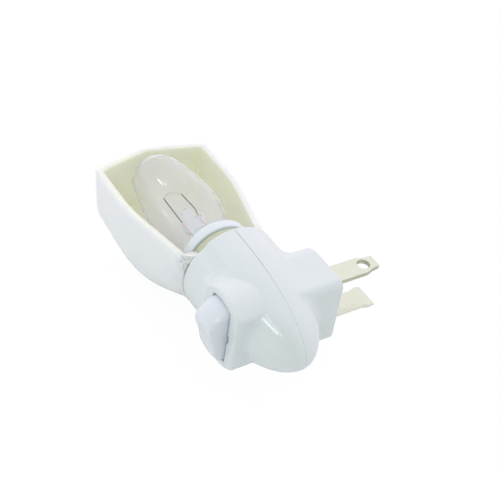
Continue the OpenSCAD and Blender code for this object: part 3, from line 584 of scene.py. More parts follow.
def dense(points, spacing=0.02):
    """Closed polygon with points added along its sides."""
    out = []
    for a, b in zip(points, np.roll(points, -1, axis=0)):
        n = max(int(np.hypot(*(b - a)) / spacing), 1)
        out.append(a + (b - a) * np.linspace(0, 1, n, endpoint=False)[:, None])
    return np.concatenate(out)


def reach_at(outline, angles):
    """Distance from the middle to a closed outline of (x, z) at each angle, turned from up towards +X."""
    x, z = outline.T
    turn, reach = np.arctan2(x, z) % (2 * np.pi), np.hypot(x, z)
    order = np.argsort(turn)
    return np.interp(angles, turn[order], reach[order], period=2 * np.pi)


def opening_loop(grow, y):
    """The rocker's opening at depth y, grown by so much: a disc cut flat, with a notch above and below."""
    r, h, notch = OPENING_R + grow, OPENING_H + grow, NOTCH_W + grow
    turn = np.linspace(math.asin(h / r), -math.asin(h / r), 41)
    arc = np.stack([r * np.cos(turn), r * np.sin(turn)], axis=1)
    above, below = [(notch, h + NOTCH_H), (notch, h)], [(notch, -h), (notch, -h - NOTCH_H)]
    half = np.concatenate([above, arc, below])
    radii = np.full(len(half), NOTCH_ROUND)
    radii[3:-3] = 0
    both_sides = np.concatenate([half, half[::-1] * [-1, 1]])
    loop = round_corners(both_sides, np.concatenate([radii, radii[::-1]]), 4)
    reach = reach_at(dense(loop), fan)
    return np.stack([reach * np.sin(fan), np.full(len(fan), y), SWITCH_Z + reach * np.cos(fan)], axis=1)


print("opening at its widest, mm:", np.ptp(opening_loop(0.0, BOSS_FACE)[:, 0]).round(2))

# %% The joint between the halves
HOLE_R = 8.8
JOINT_TIGHT_Z, JOINT_FULL_Z = -8.0, 10.0


def joint_loop(inset, side):
    """Where the halves meet: the skin in the plane of the axis, and the edge of the top's round hole.
    inset moves it inside the wall; side is -1 for the front half and +1 for the rear."""
    rays = np.stack([np.sin(fan), np.zeros(len(fan)), np.cos(fan)], axis=1)
    loop = skin_points(np.array([0.0, AXIS_Y, SWITCH_Z]), rays, lambda p: casing_field(p)[0] + inset)
    top = DECK_Z - inset
    x = (top - SWITCH_Z) * np.tan(fan)
    hole = (np.abs(x) < HOLE_R) & (np.cos(fan) > 0)
    loop[hole, 0] = x[hole]
    loop[hole, 1] = AXIS_Y + side * np.sqrt(HOLE_R ** 2 - x[hole] ** 2)
    loop[hole, 2] = top
    return loop, hole


def joint_edge(side, steps=4):
    """Rows that turn from the skin into the joint face, then cross the wall to its inside. The rounding is
    0.18 mm at the top and fades to 0.06 mm round the dome, where the halves meet more tightly."""
    (outer, hole), (inner, _) = joint_loop(0.0, side), joint_loop(WALL, side)
    fit = np.clip((outer[:, 2:] - JOINT_TIGHT_Z) / (JOINT_FULL_Z - JOINT_TIGHT_Z), 0, 1)
    edge, gap = 0.06 + 0.12 * fit, 0.012 + 0.038 * fit
    inwards = unit(-casing_field(outer)[1] * [1, 0, 1])
    inwards[hole] = (0, 0, -1)
    onwards = np.tile((0.0, -side, 0.0), (len(fan), 1))
    onwards[hole] = (outer[hole] - [0, AXIS_Y, 0]) * [-1, -1, 0] / HOLE_R
    stop = np.where(hole[:, None], 0.0, gap)
    turn = np.linspace(0, math.pi / 2, steps + 1)[1:, None, None]
    rows = outer + onwards * (edge * np.sin(turn) - edge - stop) + inwards * (edge - edge * np.cos(turn))
    return outer - onwards * (edge + stop), rows, inner - onwards * stop


print("columns that end at the round hole:", int(joint_loop(0.0, 1)[1].sum()))

# %% Rows of the fan
BEND_PULL = 2.2
SKIN_ROWS, FRONT_INNER_ROWS, REAR_INNER_ROWS = 118, 36, 30


def sweep(first, last, t):
    """Directions turning evenly from first (cols, 3) to last (cols, 3); t has shape (rows, cols)."""
    a, b = unit(first), unit(last)
    angle = np.arccos(np.clip(np.sum(a * b, axis=-1), -1, 1))
    s = np.maximum(np.sin(angle), 1e-9)
    wa, wb = np.sin((1 - t) * angle) / s, np.sin(t * angle) / s
    return wa[..., None] * a + wb[..., None] * b


def fan_rows(first, last, field, rows):
    """Rows of skin points between two loops. A first cast at three times the rows measures length and bend
    along each column, and the rows are then spaced evenly in length plus bend."""
    cols = len(fan)
    t = np.repeat(np.linspace(0, 1, 3 * rows)[:, None], cols, axis=1)
    step = np.diff(skin_points(CORE, sweep(first - CORE, last - CORE, t), field, 18), axis=0)
    length, heading = np.linalg.norm(step, axis=-1), unit(step)
    turned = np.zeros_like(length)
    turned[1:] = np.arccos(np.clip(np.sum(heading[1:] * heading[:-1], axis=-1), -1, 1))
    weight = length / length.sum(axis=0) + BEND_PULL * (turned + np.roll(turned, -1, axis=0)) / (4 * math.pi)
    for _ in range(2):
        weight = (weight + np.roll(weight, 1, axis=1) + np.roll(weight, -1, axis=1)) / 3
    total = np.concatenate([np.zeros((1, cols)), np.cumsum(weight, axis=0)])
    total /= total[-1]
    wanted = np.linspace(0, 1, rows)
    t = np.stack([np.interp(wanted, total[:, j], t[:, j]) for j in range(cols)], axis=1)
    return skin_points(CORE, sweep(first - CORE, last - CORE, t), field)


print("rows of the skin:", SKIN_ROWS)

# %% [markdown]
# ## Front half of the casing
#
# It carries the boss with the rocker's opening. The skin starts at the opening's lip, runs over the boss
# and the dome, and ends at the joint. From there the wall turns inwards and comes back to the opening
# along its inside, so the whole half is one closed sheet, like a glove turned into itself.

# %% Front casing
LIP = 0.22
CHEEK_ROWS = (-29.0, -31.0, -31.9)


def make_front():
    """Skin, joint edge, inner wall, the opening's straight wall and its rounded lip, one after the other."""
    start, edge_rows, inner = joint_edge(-1)
    outer = fan_rows(opening_loop(LIP, BOSS_FACE), start, skin_field, SKIN_ROWS)
    outer[-1] = start
    wall_end = opening_loop(0.0, CHEEK_Y + 0.02)
    inside = fan_rows(inner, wall_end, front_hollow, FRONT_INNER_ROWS)
    inside[0], inside[-1] = inner, wall_end
    wall = [opening_loop(0.0, y) for y in CHEEK_ROWS]
    turns = [opening_loop(LIP * (1 - math.sin(a)), BOSS_FACE + LIP * (1 - math.cos(a)))
             for a in np.linspace(math.pi / 2, 0, 5)[:-1]]
    return np.concatenate([outer, edge_rows, inside, wall, turns])


build_piece("casing_front", [(make_front(), True, True, 0)], "casing", ["front_casing"],
            [casing_white], sharp=40)

# %% [markdown]
# ## Rear half of the casing
#
# It carries the block that the blades stand out of. Its fan of rays starts from one point in the middle of
# the plug face and ends at the same joint. The block's upper corners are wide arcs and its lower corners
# tight ones, and both come from the field, so nothing is cut or bevelled here.

# %% Rear casing
def make_rear():
    """Skin, joint edge and inner wall, closed by a point at both ends."""
    start, edge_rows, inner = joint_edge(1)
    face, core = (np.tile((0.0, y, 1.5), (len(fan), 1)) for y in (0.0, -2.0))
    outer = fan_rows(face, start, skin_field, SKIN_ROWS)
    outer[-1] = start
    inside = fan_rows(inner, core, wall_field, REAR_INNER_ROWS)
    inside[0] = inner
    return np.concatenate([outer, edge_rows, inside])


build_piece("casing_rear", [(make_rear(), True, False, 0)], "casing", ["rear_casing"],
            [casing_white], sharp=40)

# %% [markdown]
# ## The shade
#
# The shade is a deep bowl, open towards the side. Cut level, each section is half of a squared oval: a
# circle at the foot that grows into a box with round corners. Near the top the sections narrow evenly,
# which makes the two slopes of the roof. Outer and inner wall are the same section at two sizes, tied
# together at the open edge by a rounded rim. A modelled box with a Solidify modifier would give an even
# wall too, but not the exact ridge, where both slopes meet in one line.

# %% Sections of the shade
SHADE_BOTTOM, SHADE_PEAK, WIDEST = 20.5, 72.36, 52.0
SHADE_SHOULDER = SHADE_PEAK - 4.7
SHADE_W, SHADE_D, FOOT_R, RIM_Y = 18.3, 18.1, 14.2, 5.4
SHADE_WALL, ROOF_T, RIDGE_ROUND = 2.0, 2.06, 1.2
ROOF_SLOPE = (SHADE_PEAK - SHADE_SHOULDER) / SHADE_W
TOP_LEAN, SIDE_DRAFT, ROOF_DRAFT, MEET = 2.7, 0.045, 0.05, 30.0


def between(z, low, high):
    """0 at low, 1 at high, even between them."""
    return np.clip((z - low) / (high - low), 0, 1)


def ease(t):
    """0 to 1 with a level start and end."""
    return t * t * (3 - 2 * t)


def shade_sizes(z, inset):
    """Half width, depth and squareness at height z. The width eases out to 18.3, and the roof's slope narrows
    it again: the smaller of the two widths wins softly. The depth follows a quarter sine and leans back near
    the top."""
    side = FOOT_R + (SHADE_W - FOOT_R) * ease(between(z, SHADE_BOTTOM + 3, WIDEST)) - inset
    reach = (SHADE_PEAK - z - inset * ROOF_T / SHADE_WALL) / ROOF_SLOPE
    roof = np.sqrt(np.maximum(reach ** 2 - RIDGE_ROUND ** 2, 1e-6))
    roof = np.where(reach < RIDGE_ROUND, 1e-3, roof)
    width = (side ** -MEET + roof ** -MEET) ** (-1 / MEET)
    low = np.minimum(z, SHADE_SHOULDER)
    depth = FOOT_R + (SHADE_D - FOOT_R) * np.sin(np.pi / 2 * between(low, SHADE_BOTTOM, WIDEST - 6))
    depth -= TOP_LEAN * between(low, WIDEST - 4, SHADE_SHOULDER) ** 1.25 + inset
    squareness = 2 + 3 * ease(between(z, SHADE_BOTTOM + 1, WIDEST - 8))
    return width, depth, squareness


def shade_arc(z, inset, cols, rim):
    """Sections at heights z (rows,): x = w |cos t|^(2/n), y = -d |sin t|^(2/n), from rim to rim. Sides and
    roof are then drafted by their depth behind the rim."""
    w, d, n = (q[:, None] for q in shade_sizes(z, inset))
    t0 = np.arcsin((rim / d) ** (n / 2))
    t = -t0 + (np.pi + 2 * t0) * np.linspace(0, 1, 1201)[None, :]
    x = np.sign(np.cos(t)) * np.abs(np.cos(t)) ** (2 / n)
    y = -np.sign(np.sin(t)) * np.abs(np.sin(t)) ** (2 / n)
    step = np.hypot(np.diff(x, axis=1), np.diff(y, axis=1))
    length = np.concatenate([np.zeros((len(z), 1)), np.cumsum(step, axis=1)], axis=1)
    length /= length[:, -1:]
    wanted = np.linspace(0, 1, cols)
    x, y = (np.stack([np.interp(wanted, length[i], q[i]) for i in range(len(z))]) for q in (x, y))
    upper = ease(between(z, SHADE_BOTTOM + 4, WIDEST - 2))[:, None]
    depth = RIM_Y - y * d
    x = x * w * (1 - upper * SIDE_DRAFT * depth / (SHADE_D + RIM_Y))
    return np.stack([x, y * d, z[:, None] - upper * ROOF_DRAFT * depth], axis=-1)


def to_shade(p):
    """Turns the shade's own frame by -90 degrees round the bulb's axis."""
    return np.stack([p[..., 1], AXIS_Y - p[..., 0], p[..., 2]], axis=-1)


print("shade at its widest, mm:", 2 * shade_sizes(np.array([WIDEST]), 0.0)[0].round(2)[0])

# %% The bowl
NEAR_ROOF = [-2.0, -1.6, -1.3, -1.05, -0.85, -0.65, -0.45, -0.25, 0, 0.3, 0.7, 1.2, 1.8, 2.5, 3.2, 3.7, 4.0,
             4.2, 4.32, 4.36]
RIM_ROUND = 0.6
# The rounded ridge ends this far below the peak: a hair more than RIDGE_ROUND * ROOF_SLOPE.
RIDGE_DROP = 0.30824


def make_bowl(cols=121, rim_steps=6):
    """Loops round both walls at rising heights, with the rims between them, and a foot that closes the wall.
    Also gives each column's material: 0 outside, 1 inside, with the change in the middle of the rims."""
    sides = np.linspace(SHADE_BOTTOM, SHADE_SHOULDER - 2.5, 64)
    z = np.concatenate([sides, SHADE_SHOULDER + np.array(NEAR_ROOF), [SHADE_PEAK - RIDGE_DROP]])
    z_in = SHADE_BOTTOM + (z - SHADE_BOTTOM) * (1 - ROOF_T / (SHADE_PEAK - SHADE_BOTTOM))
    outer = shade_arc(z, 0.0, cols, RIM_Y - RIM_ROUND)
    inner = shade_arc(z_in, SHADE_WALL, cols, RIM_Y - RIM_ROUND)
    corner_out = shade_arc(z, 0.0, 3, RIM_Y)[:, [0, 2]]
    corner_in = shade_arc(z_in, SHADE_WALL, 3, RIM_Y)[:, [0, 2]]
    for ridge in (outer, inner, corner_out, corner_in):
        ridge[-1, :, 0] = 0
    t = np.linspace(0, 1, rim_steps + 1)[None, :, None]
    rims = []
    for k, end in ((1, -1), (0, 0)):
        across = corner_in[:, k] - corner_out[:, k]
        width = np.maximum(np.linalg.norm(across, axis=-1, keepdims=True), 1e-9)
        cut = across * np.minimum(RIM_ROUND / width, 0.45)
        a, b, c, d, e, f = (q[:, None] for q in (outer[:, end], corner_out[:, k], corner_out[:, k] + cut,
                                                 corner_in[:, k] - cut, corner_in[:, k], inner[:, end]))
        rims.append(np.concatenate([bend(a, b, c, t)[:, 1:], bend(d, e, f, t)[:, :-1]], axis=1))
    loop = np.concatenate([outer, rims[0], inner[:, ::-1], rims[1][:, ::-1]], axis=1)
    middle = (outer[:1] + inner[:1]) / 2
    ends = [np.repeat(middle[:, [e]], rims[0].shape[1], axis=1) for e in (-1, 0)]
    foot = np.concatenate([middle, ends[0], middle[:, ::-1], ends[1]], axis=1)
    numbers = np.zeros(loop.shape[1], dtype=int)
    turn_in = cols + rims[0].shape[1] // 2
    numbers[turn_in:turn_in + cols + rims[0].shape[1]] = 1
    return to_shade(np.concatenate([foot, loop])), numbers


bowl_sheet, bowl_sides = make_bowl()
bowl_numbers = np.tile(bowl_sides, (bowl_sheet.shape[0] - 1, 1))
# Outside and inside of the bowl take the two tinted copies of the shade plastic, which are painted light.
build_piece("shade_bowl", [(bowl_sheet, True, False, bowl_numbers)], "shade", ["shade"],
            [shade_outside_room_tinted, shade_inside_bounce_tinted], sharp=42)

# %% [markdown]
# ## The shade's floor and lugs
#
# At its foot the bowl has a flat floor with a raised ring, which turns on the socket's neck and is held
# down by the collar. The floor ends in a straight edge on the open side, between two small leaning lugs
# that stiffen the bowl's corners. The floor is a turned profile whose outer radius varies with the angle.

# %% Floor ring and lugs
RING_BORE, RING_R, RING_TOP, FLOOR_T, FLOOR_R, FLOOR_EDGE = 8.76, 10.0, 24.9, 1.8, 13.5, 5.0
LUG_OUTLINE = [(2.0, 20.5), (7.8, 20.5), (5.4, 24.8), (2.0, 24.8)]
LUG_ROUND, LUG_R, LUG_INNER = 0.5, 14.1, 9.0


def shade_ring():
    """Floor and ring: a flat plate round the neck, cut straight along the open side, with a raised ring."""
    a = np.linspace(0, 2 * np.pi, 160, endpoint=False)
    edge = np.minimum(FLOOR_R, FLOOR_EDGE / np.maximum(np.sin(a), 1e-6))
    edge = np.maximum(edge, RING_R)
    low, top, high = SHADE_BOTTOM, SHADE_BOTTOM + FLOOR_T, RING_TOP
    rows = [(RING_BORE, low + 0.2), (8.96, low), (edge - 0.2, low), (edge, low + 0.2), (edge, top - 0.2),
            (edge, top), (RING_R, top), (RING_R, top + 0.15), (RING_R, high - 0.4), (9.88, high - 0.12),
            (9.6, high), (9.0, high), (8.82, high - 0.08), (RING_BORE, high - 0.3)]
    return to_shade(np.array([np.stack([r * np.cos(a), r * np.sin(a), np.full_like(a, z)], axis=-1)
                              for r, z in rows]))


def lug(side):
    """Small block that ends the floor at the open edge: a leaning outline carried from the ring out to the
    bowl, with its first and last rows drawn in."""
    outline = round_corners(LUG_OUTLINE, LUG_ROUND, 4)
    middle = outline.mean(axis=0)
    bowl = np.sqrt(LUG_R ** 2 - outline[:, 0] ** 2)
    rows = []
    for x, scale in ((LUG_INNER, 0.0), (LUG_INNER, 0.96), (LUG_INNER + 0.15, 1.0),
                     (bowl - 0.25, 1.0), (bowl - 0.05, 0.96), (bowl - 0.05, 0.0)):
        across = side * np.broadcast_to(x, len(outline))
        rows.append(np.column_stack([across, middle + (outline - middle) * scale]))
    return to_shade(np.array(rows))


# The floor and ring wear the darker olive finish: painted shade for the groove between collar and casing.
build_piece("shade_floor_ring", [(shade_ring(), True, True, 0)], "shade", materials=[shade_floor_painted_shade], sharp=42)
build_piece("shade_lugs", [(lug(1), True, False, 0), (lug(-1), True, False, 0)], "shade",
            materials=[shade_lug], sharp=42)

# %% [markdown]
# ## Socket sleeve and its collar
#
# The sleeve is a moulded cup: a round neck that the shade turns on, and a wider collar that keeps the
# shade in place. Everything on it is round, so one profile carried round the axis gives it all, where a
# stack of cylinders would need its joints cleaned up.

# %% Sleeve
BORE, NECK, COLLAR, COLLAR_TOP, CUP_FLOOR = 6.6, 8.7, 10.4, 29.1, 13.8
sleeve_corners = [
    ((BORE, 14.9), 0.1), ((BORE, 28.5), 0.5), ((7.1, COLLAR_TOP), 0.4), ((9.3, COLLAR_TOP), 1.2),
    ((COLLAR, 28.0), 1.4), ((COLLAR, 25.3), 0.5), ((NECK, 25.2), 0.3), ((NECK, CUP_FLOOR), 0.3),
    ((3.0, CUP_FLOOR), 0.1), ((3.0, 14.9), 0.1),
]
sleeve_profile = round_corners([point for point, _ in sleeve_corners], [r for _, r in sleeve_corners], 7)
build_piece("sleeve_collar", [(lathe(sleeve_profile, 144), True, True, 0)], "casing", ["socket_sleeve"],
            [sleeve_cream], sharp=50)

# %% [markdown]
# ## The bulb's glass
#
# Clear glass needs two skins, outer and inner, or light passes through it as through a solid lump. The
# profile runs up the outside from the neck, over the round tip, and back down the inside.

# %% Bulb glass
BULB_TOP, CAP_TOP, BELLY_Z, BULB_R, TIP_R, NECK_R, GLASS_T = 69.1, 28.4, 45.5, 10.4, 8.3, 5.5, 0.4
TIP_FROM = math.radians(15)
TIP_Z = BULB_TOP - TIP_R
SIDE_TOP = TIP_Z + TIP_R * math.sin(TIP_FROM)


def glass_radius(z):
    """Quarter-sine swell from the neck to the belly, then a power curve in to where the tip takes over."""
    low = NECK_R + (BULB_R - NECK_R) * np.sin(np.pi / 2 * between(z, CAP_TOP, BELLY_Z) ** 1.05)
    high = BULB_R - (BULB_R - TIP_R * math.cos(TIP_FROM)) * between(z, BELLY_Z, SIDE_TOP) ** 1.6
    return np.where(z < BELLY_Z, low, high)


def glass_wall(inset):
    """Profile of (radius, height) up one side of the wall: neck, swell and tip."""
    z = np.linspace(CAP_TOP, SIDE_TOP, 64)
    a = np.linspace(TIP_FROM, math.pi / 2, 30)[1:]
    side = np.stack([glass_radius(z) - inset, z], axis=1)
    tip = np.stack([(TIP_R - inset) * np.cos(a), TIP_Z + (TIP_R - inset) * np.sin(a)], axis=1)
    tip[-1, 0] = 0
    neck = [(NECK_R - inset, CAP_TOP - 0.8), (NECK_R - inset, CAP_TOP - 0.3)]
    return np.concatenate([neck, side, tip])


glass_profile = np.concatenate([glass_wall(0.0), glass_wall(GLASS_T)[::-1]])
build_piece("bulb_envelope", [(lathe(glass_profile, 160), True, True, 0)], "bulb", ["bulb_glass"],
            [bulb_clear])

# %% [markdown]
# ## Leads and filament
#
# Thin wires are tubes: a ring of points carried along a path, always square to it. The two leads are dark
# steel above and turn into the pink copper-clad wire that seals well in glass. The filament between them is
# a coil so fine that it hardly shows when it is off. A curve with a bevel would give the same tubes, but a
# sheet lets both kinds of wire share one mesh.

# %% Wires
LEAD_R, SEAL_R, COIL_WIRE, COIL_R, COIL_TURN = 0.19, 0.27, 0.03, 0.11, 330


def tube(path, radius, sides=10, steps=8):
    """Sheet of rings along a path of (x, y, z), rounded at its bends and closed at both ends."""
    path = np.asarray(path, dtype=float)
    t = np.linspace(0, 1, steps)[:, None]
    fine = [path[0]]
    for before, here, after in zip(path, path[1:], path[2:]):
        fine.extend(bend(here * 0.6 + before * 0.4, here, here * 0.6 + after * 0.4, t))
    fine = np.array(fine + [path[-1]])
    along = unit(np.gradient(fine, axis=0))
    side = unit(np.cross(along, (1.0, 0.02, 0.0)))
    other = np.cross(along, side)
    angle = np.linspace(0, 2 * np.pi, sides, endpoint=False)[None, :, None]
    sheet = fine[:, None] + radius * (np.cos(angle) * side[:, None] + np.sin(angle) * other[:, None])
    ends = [np.repeat(fine[k][None, None], sides, axis=1) for k in (0, -1)]
    return np.concatenate([ends[0], sheet, ends[1]])


def bulb_path(pairs):
    """Path in the upright plane of the two leads from (y, z) pairs, with y from the bulb's axis."""
    return [(0.0, AXIS_Y + y, z) for y, z in pairs]


room_lead = [(-2.7, 41.4), (-2.75, 44.0), (-2.66, 50.0), (-2.6, 53.5)]
wall_lead = [(2.7, 41.4), (2.85, 42.2), (3.6, 45.2), (3.72, 46.2), (3.65, 47.4), (3.3, 53.5)]
seals = [[(y, 36.6), (y, 39.0), (y, 41.45)] for y in (-2.7, 2.7)]
leads = [(tube(bulb_path(path), LEAD_R), True, False, 0) for path in (room_lead, wall_lead)]
leads += [(tube(bulb_path(path), SEAL_R), True, False, 1) for path in seals]
build_piece("bulb_leads", leads, "bulb", ["lead_wires"], [lead_dark, lead_pink])

along_arc = np.linspace(0, 1, 700)
arc_y, arc_z = AXIS_Y - 2.6 + 5.9 * along_arc, 53.3 + 1.9 * np.sin(np.pi * along_arc)
coil = np.stack([COIL_R * np.cos(COIL_TURN * along_arc), arc_y,
                 arc_z + COIL_R * np.sin(COIL_TURN * along_arc)], axis=1)
build_piece("bulb_filament", [(tube(coil, COIL_WIRE, 5, 2), True, False, 0)], "bulb", ["filament"],
            [spring_steel])

# %% [markdown]
# ## The rocker
#
# A rocker is a flat outline with thickness: two lobes with a shallow dip between them, and round ends that
# clear the boss as it tips. Each level of its thickness is a loop of that outline, kept inside a ball about
# the pivot, and the top and bottom loops are drawn in for rounded edges. A pin through it lets it turn in
# the casing, and a short tube at its back holds the spring plunger. A bevelled block would give the edges,
# but not the ball-shaped ends.

# %% Rocker
PIVOT_Y, TILT = -30.0, math.radians(-15)
ROCKER_DIP, ROCKER_LOBE, LOBE_X, DIP_ROUND = 6.4, 6.8, 5.2, 1.6
BALL_R, END_ROUND, ROCKER_HALF, ROCKER_EDGE = 9.4, 1.9, 4.15, 0.7
PIN_HALF = [(0, 5.6), (1.05, 5.6), (1.2, 5.45)]
STEM_PROFILE = [(0, 0), (2.2, 0), (2.2, 4.0), (2.0, 4.2), (1.35, 4.2), (1.35, 2.0), (0, 2.0)]


def offset_in(loop, by):
    """Closed loop of (u, v) moved inwards along its normals."""
    before, after = loop - np.roll(loop, 1, axis=0), np.roll(loop, -1, axis=0) - loop
    along = unit(unit(before) + unit(after))
    area = np.sum(loop[:, 0] * np.roll(loop[:, 1], -1) - loop[:, 1] * np.roll(loop[:, 0], -1))
    return loop + np.stack([-along[:, 1], along[:, 0]], axis=1) * np.sign(area) * by


def rocker_outline(limit):
    """Reach of the rocker at each angle from its front: 6.4 mm in the shallow dip and 6.8 mm at 5.2 mm to
    either side of it, turning softly into round ends of the given radius, with a flat back."""
    a = np.radians(np.linspace(0, 100, 90))
    x = np.linspace(0, 40, 800)
    rise = (np.hypot(x, DIP_ROUND) - DIP_ROUND) / (math.hypot(LOBE_X, DIP_ROUND) - DIP_ROUND)
    y = ROCKER_DIP + (ROCKER_LOBE - ROCKER_DIP) * rise
    reach = soft_min(np.interp(a, np.arctan2(x, y), np.hypot(x, y)), limit, END_ROUND)
    half = np.stack([reach * np.sin(a), -reach * np.cos(a)], axis=1)
    return np.concatenate([half, half[:0:-1] * [-1, 1]])


def make_rocker(steps=6):
    """Loops of the outline across the thickness of 8.3 mm, each kept inside a ball of 9.4 mm radius and drawn
    in at both faces for their rounded edges."""
    turn = np.linspace(0, math.pi / 2, steps + 1)
    flat = ROCKER_HALF - ROCKER_EDGE
    height = np.concatenate([flat + ROCKER_EDGE * np.cos(turn), np.linspace(flat, 0, 9)[1:]])
    inset = np.concatenate([ROCKER_EDGE - ROCKER_EDGE * np.sin(turn), np.zeros(8)])
    rows = []
    for w, by in zip(height, inset):
        points = offset_in(rocker_outline(math.sqrt(BALL_R ** 2 - w * w)), by)
        rows.append(np.column_stack([points, np.full(len(points), w)]))
    middle = np.tile((0.0, -2.2, ROCKER_HALF), (len(rows[0]), 1))
    upper = [middle, middle + (rows[0] - middle) * 0.96] + rows
    return np.array(upper + [row * [1, 1, -1] for row in upper[-2::-1]])


def from_rocker(p):
    """Tips points of the upright rocker by its rest tilt, about its pivot."""
    c, s = math.cos(TILT), math.sin(TILT)
    x, y = p[..., 0], p[..., 1]
    return np.stack([c * x - s * y, s * x + c * y + PIVOT_Y, p[..., 2] + SWITCH_Z], axis=-1)


pin = lathe([(r, -z) for r, z in PIN_HALF] + PIN_HALF[::-1], 32, (0, 0))
stem = lathe(STEM_PROFILE, 32, (0, 0))[..., [0, 2, 1]]
build_piece("rocker_button", [(from_rocker(part), True, False, 0) for part in (make_rocker(), pin, stem)],
            "rocker", ["rocker"], [rocker_white], sharp=45)

# %% [markdown]
# ## The hot blade
#
# It is a flat plate, punched with a round hole and narrowed at its tip, and its edges are rounded by the
# press. Its sheet starts at the hole, runs out over one face, round the edge and back to the hole, so the
# hole needs no boolean cut. The edges get a darker copy of the blade's finish, painted shade along them.

# %% Hot blade
BLADE_X, BLADE_T, BLADE_HALF_W, BLADE_OUT, BLADE_EDGE = 6.35, 1.4, 3.175, 15.8, 0.3
BLADE_HOLE_Y, BLADE_HOLE_R, HOLE_EDGE = 11.7, 1.75, 0.15


def hot_outline():
    """Blade 6.35 mm wide that narrows to 4.3 mm past its hole, with a narrower tail inside the casing."""
    corners = [((2.15, BLADE_OUT), 0.5), ((2.35, 13.4), 0.8), ((BLADE_HALF_W, 11.4), 0.8),
               ((BLADE_HALF_W, -3.0), 0.6), ((2.5, -3.8), 0.4), ((2.5, -9.0), 0.5)]
    right, radii = np.array([point for point, _ in corners]), [r for _, r in corners]
    loop = np.concatenate([right, right[::-1] * [-1, 1]])
    return dense(round_corners(loop, radii + radii[::-1], 5), 0.35)


def plate_with_hole(loop, half, edge, centre, hole, steps=5):
    """Sheet (rows, cols, 3) of a plate from w = -half to half. Its rows go from inside the round hole over
    the upper face and round the outer edge; the lower face repeats them in reverse."""
    turn = np.linspace(0, math.pi / 2, steps + 1)
    spoke = unit(loop - centre)
    upper = [(centre + spoke * (hole + HOLE_EDGE * (1 - math.sin(a))), half - HOLE_EDGE * (1 - math.cos(a)))
             for a in turn[::-1]]
    upper.append((offset_in(loop, edge + 0.08), half))
    upper += [(offset_in(loop, edge * (1 - math.sin(a))), half - edge * (1 - math.cos(a))) for a in turn]
    rows = upper + [(points, -w) for points, w in upper[::-1]]
    return np.array([np.column_stack([points, np.full(len(points), w)]) for points, w in rows])


hot = plate_with_hole(hot_outline(), BLADE_T / 2, BLADE_EDGE, np.array([0.0, BLADE_HOLE_Y]), BLADE_HOLE_R)
# Face rows 5 to 8 and 16 to 19 are the two flat sides with the start of their rounding; the rest are edges,
# which take the darker finish as painted shade.
hot_shaded_edge_numbers = np.ones(hot.shape[:2], dtype=int)
hot_shaded_edge_numbers[5:9] = hot_shaded_edge_numbers[16:20] = 0
hot = np.stack([BLADE_X + hot[..., 2], hot[..., 1], hot[..., 0]], axis=-1)
build_piece("blade_hot", [(hot, True, True, hot_shaded_edge_numbers)], "casing", ["hot_blade"],
            [blade_metal, blade_edge_painted_shade], sharp=40)

# %% [markdown]
# ## The neutral blade
#
# A polarised plug's neutral blade flares at its tip, so that it fits only the wide slot, and is coined
# thinner at its end. It is a row of rounded rectangles along its length, each with its own half width and
# half thickness.

# %% Neutral blade
NEUTRAL_EDGE = 0.28
neutral_stations = [
    (-9.0, 2.5, 0.7), (-3.8, 2.5, 0.7), (-3.0, BLADE_HALF_W, 0.7), (-1, BLADE_HALF_W, 0.7),
    (5, BLADE_HALF_W, 0.7), (11.6, BLADE_HALF_W, 0.7), (12.0, 3.19, 0.7), (12.3, 3.25, 0.7),
    (12.7, 3.40, 0.7), (13.2, 3.60, 0.7), (13.6, 3.69, 0.7), (14.0, 3.73, 0.7), (14.45, 3.76, 0.69),
    (14.6, 3.77, 0.66), (14.9, 3.78, 0.57), (15.3, 3.79, 0.45), (15.6, 3.79, 0.36), (15.75, 3.76, 0.28),
    (BLADE_OUT, 3.68, 0.16),
]


def blade_section(y, half_w, half_t, steps=5):
    """Rounded rectangle of (thickness, width, y) points, the same number for every section."""
    edge = min(NEUTRAL_EDGE, half_t * 0.95)
    turn = np.linspace(0, math.pi / 2, steps + 1)
    out = []
    for k, (st, sw) in enumerate([(1, 1), (-1, 1), (-1, -1), (1, -1)]):
        a = turn + k * math.pi / 2
        out.append(np.stack([st * (half_t - edge) + edge * np.cos(a), sw * (half_w - edge) + edge * np.sin(a),
                             np.full_like(a, y)], axis=1))
    return np.concatenate(out)


sections = [blade_section(*station) for station in neutral_stations]
first, last = (np.tile(section.mean(axis=0), (len(section), 1)) for section in (sections[0], sections[-1]))
neutral = np.array([first] + sections + [last])
neutral = np.stack([-BLADE_X + neutral[..., 0], neutral[..., 2], neutral[..., 1]], axis=-1)
build_piece("blade_neutral", [(neutral, True, False, 0)], "casing", ["neutral_blade"],
            [blade_metal], sharp=40)

# %% [markdown]
# ## The floor
#
# The light lies on a white sheet. The floor is a plane just under its lowest side, low enough for the shade
# to swivel clear of it. To the camera and through glass it is nearly all plain white, and the rest is
# white paint, so that it keeps a soft shadow. From below it isn't seen, so that it hides nothing there. A
# backdrop lit until it is white would need far more light than the object can take.

# %% Floor
FLOOR_GAP, FLOOR_REACH, FLOOR_WHITE = 6.0, 900.0, 0.9
floor_x = cad_box[0][0] / MM - FLOOR_GAP
corners = [(floor_x, y, z) for y, z in ((-1, -1), (1, -1), (1, 1), (-1, 1))]
floor_points = np.array(corners) * [1, FLOOR_REACH, FLOOR_REACH] * MM
floor_mesh = bpy.data.meshes.new("floor")
floor_mesh.from_pydata(floor_points.tolist(), [], [(0, 1, 2, 3)])
floor = bpy.data.objects.new("floor", floor_mesh)
bpy.context.scene.collection.objects.link(floor)

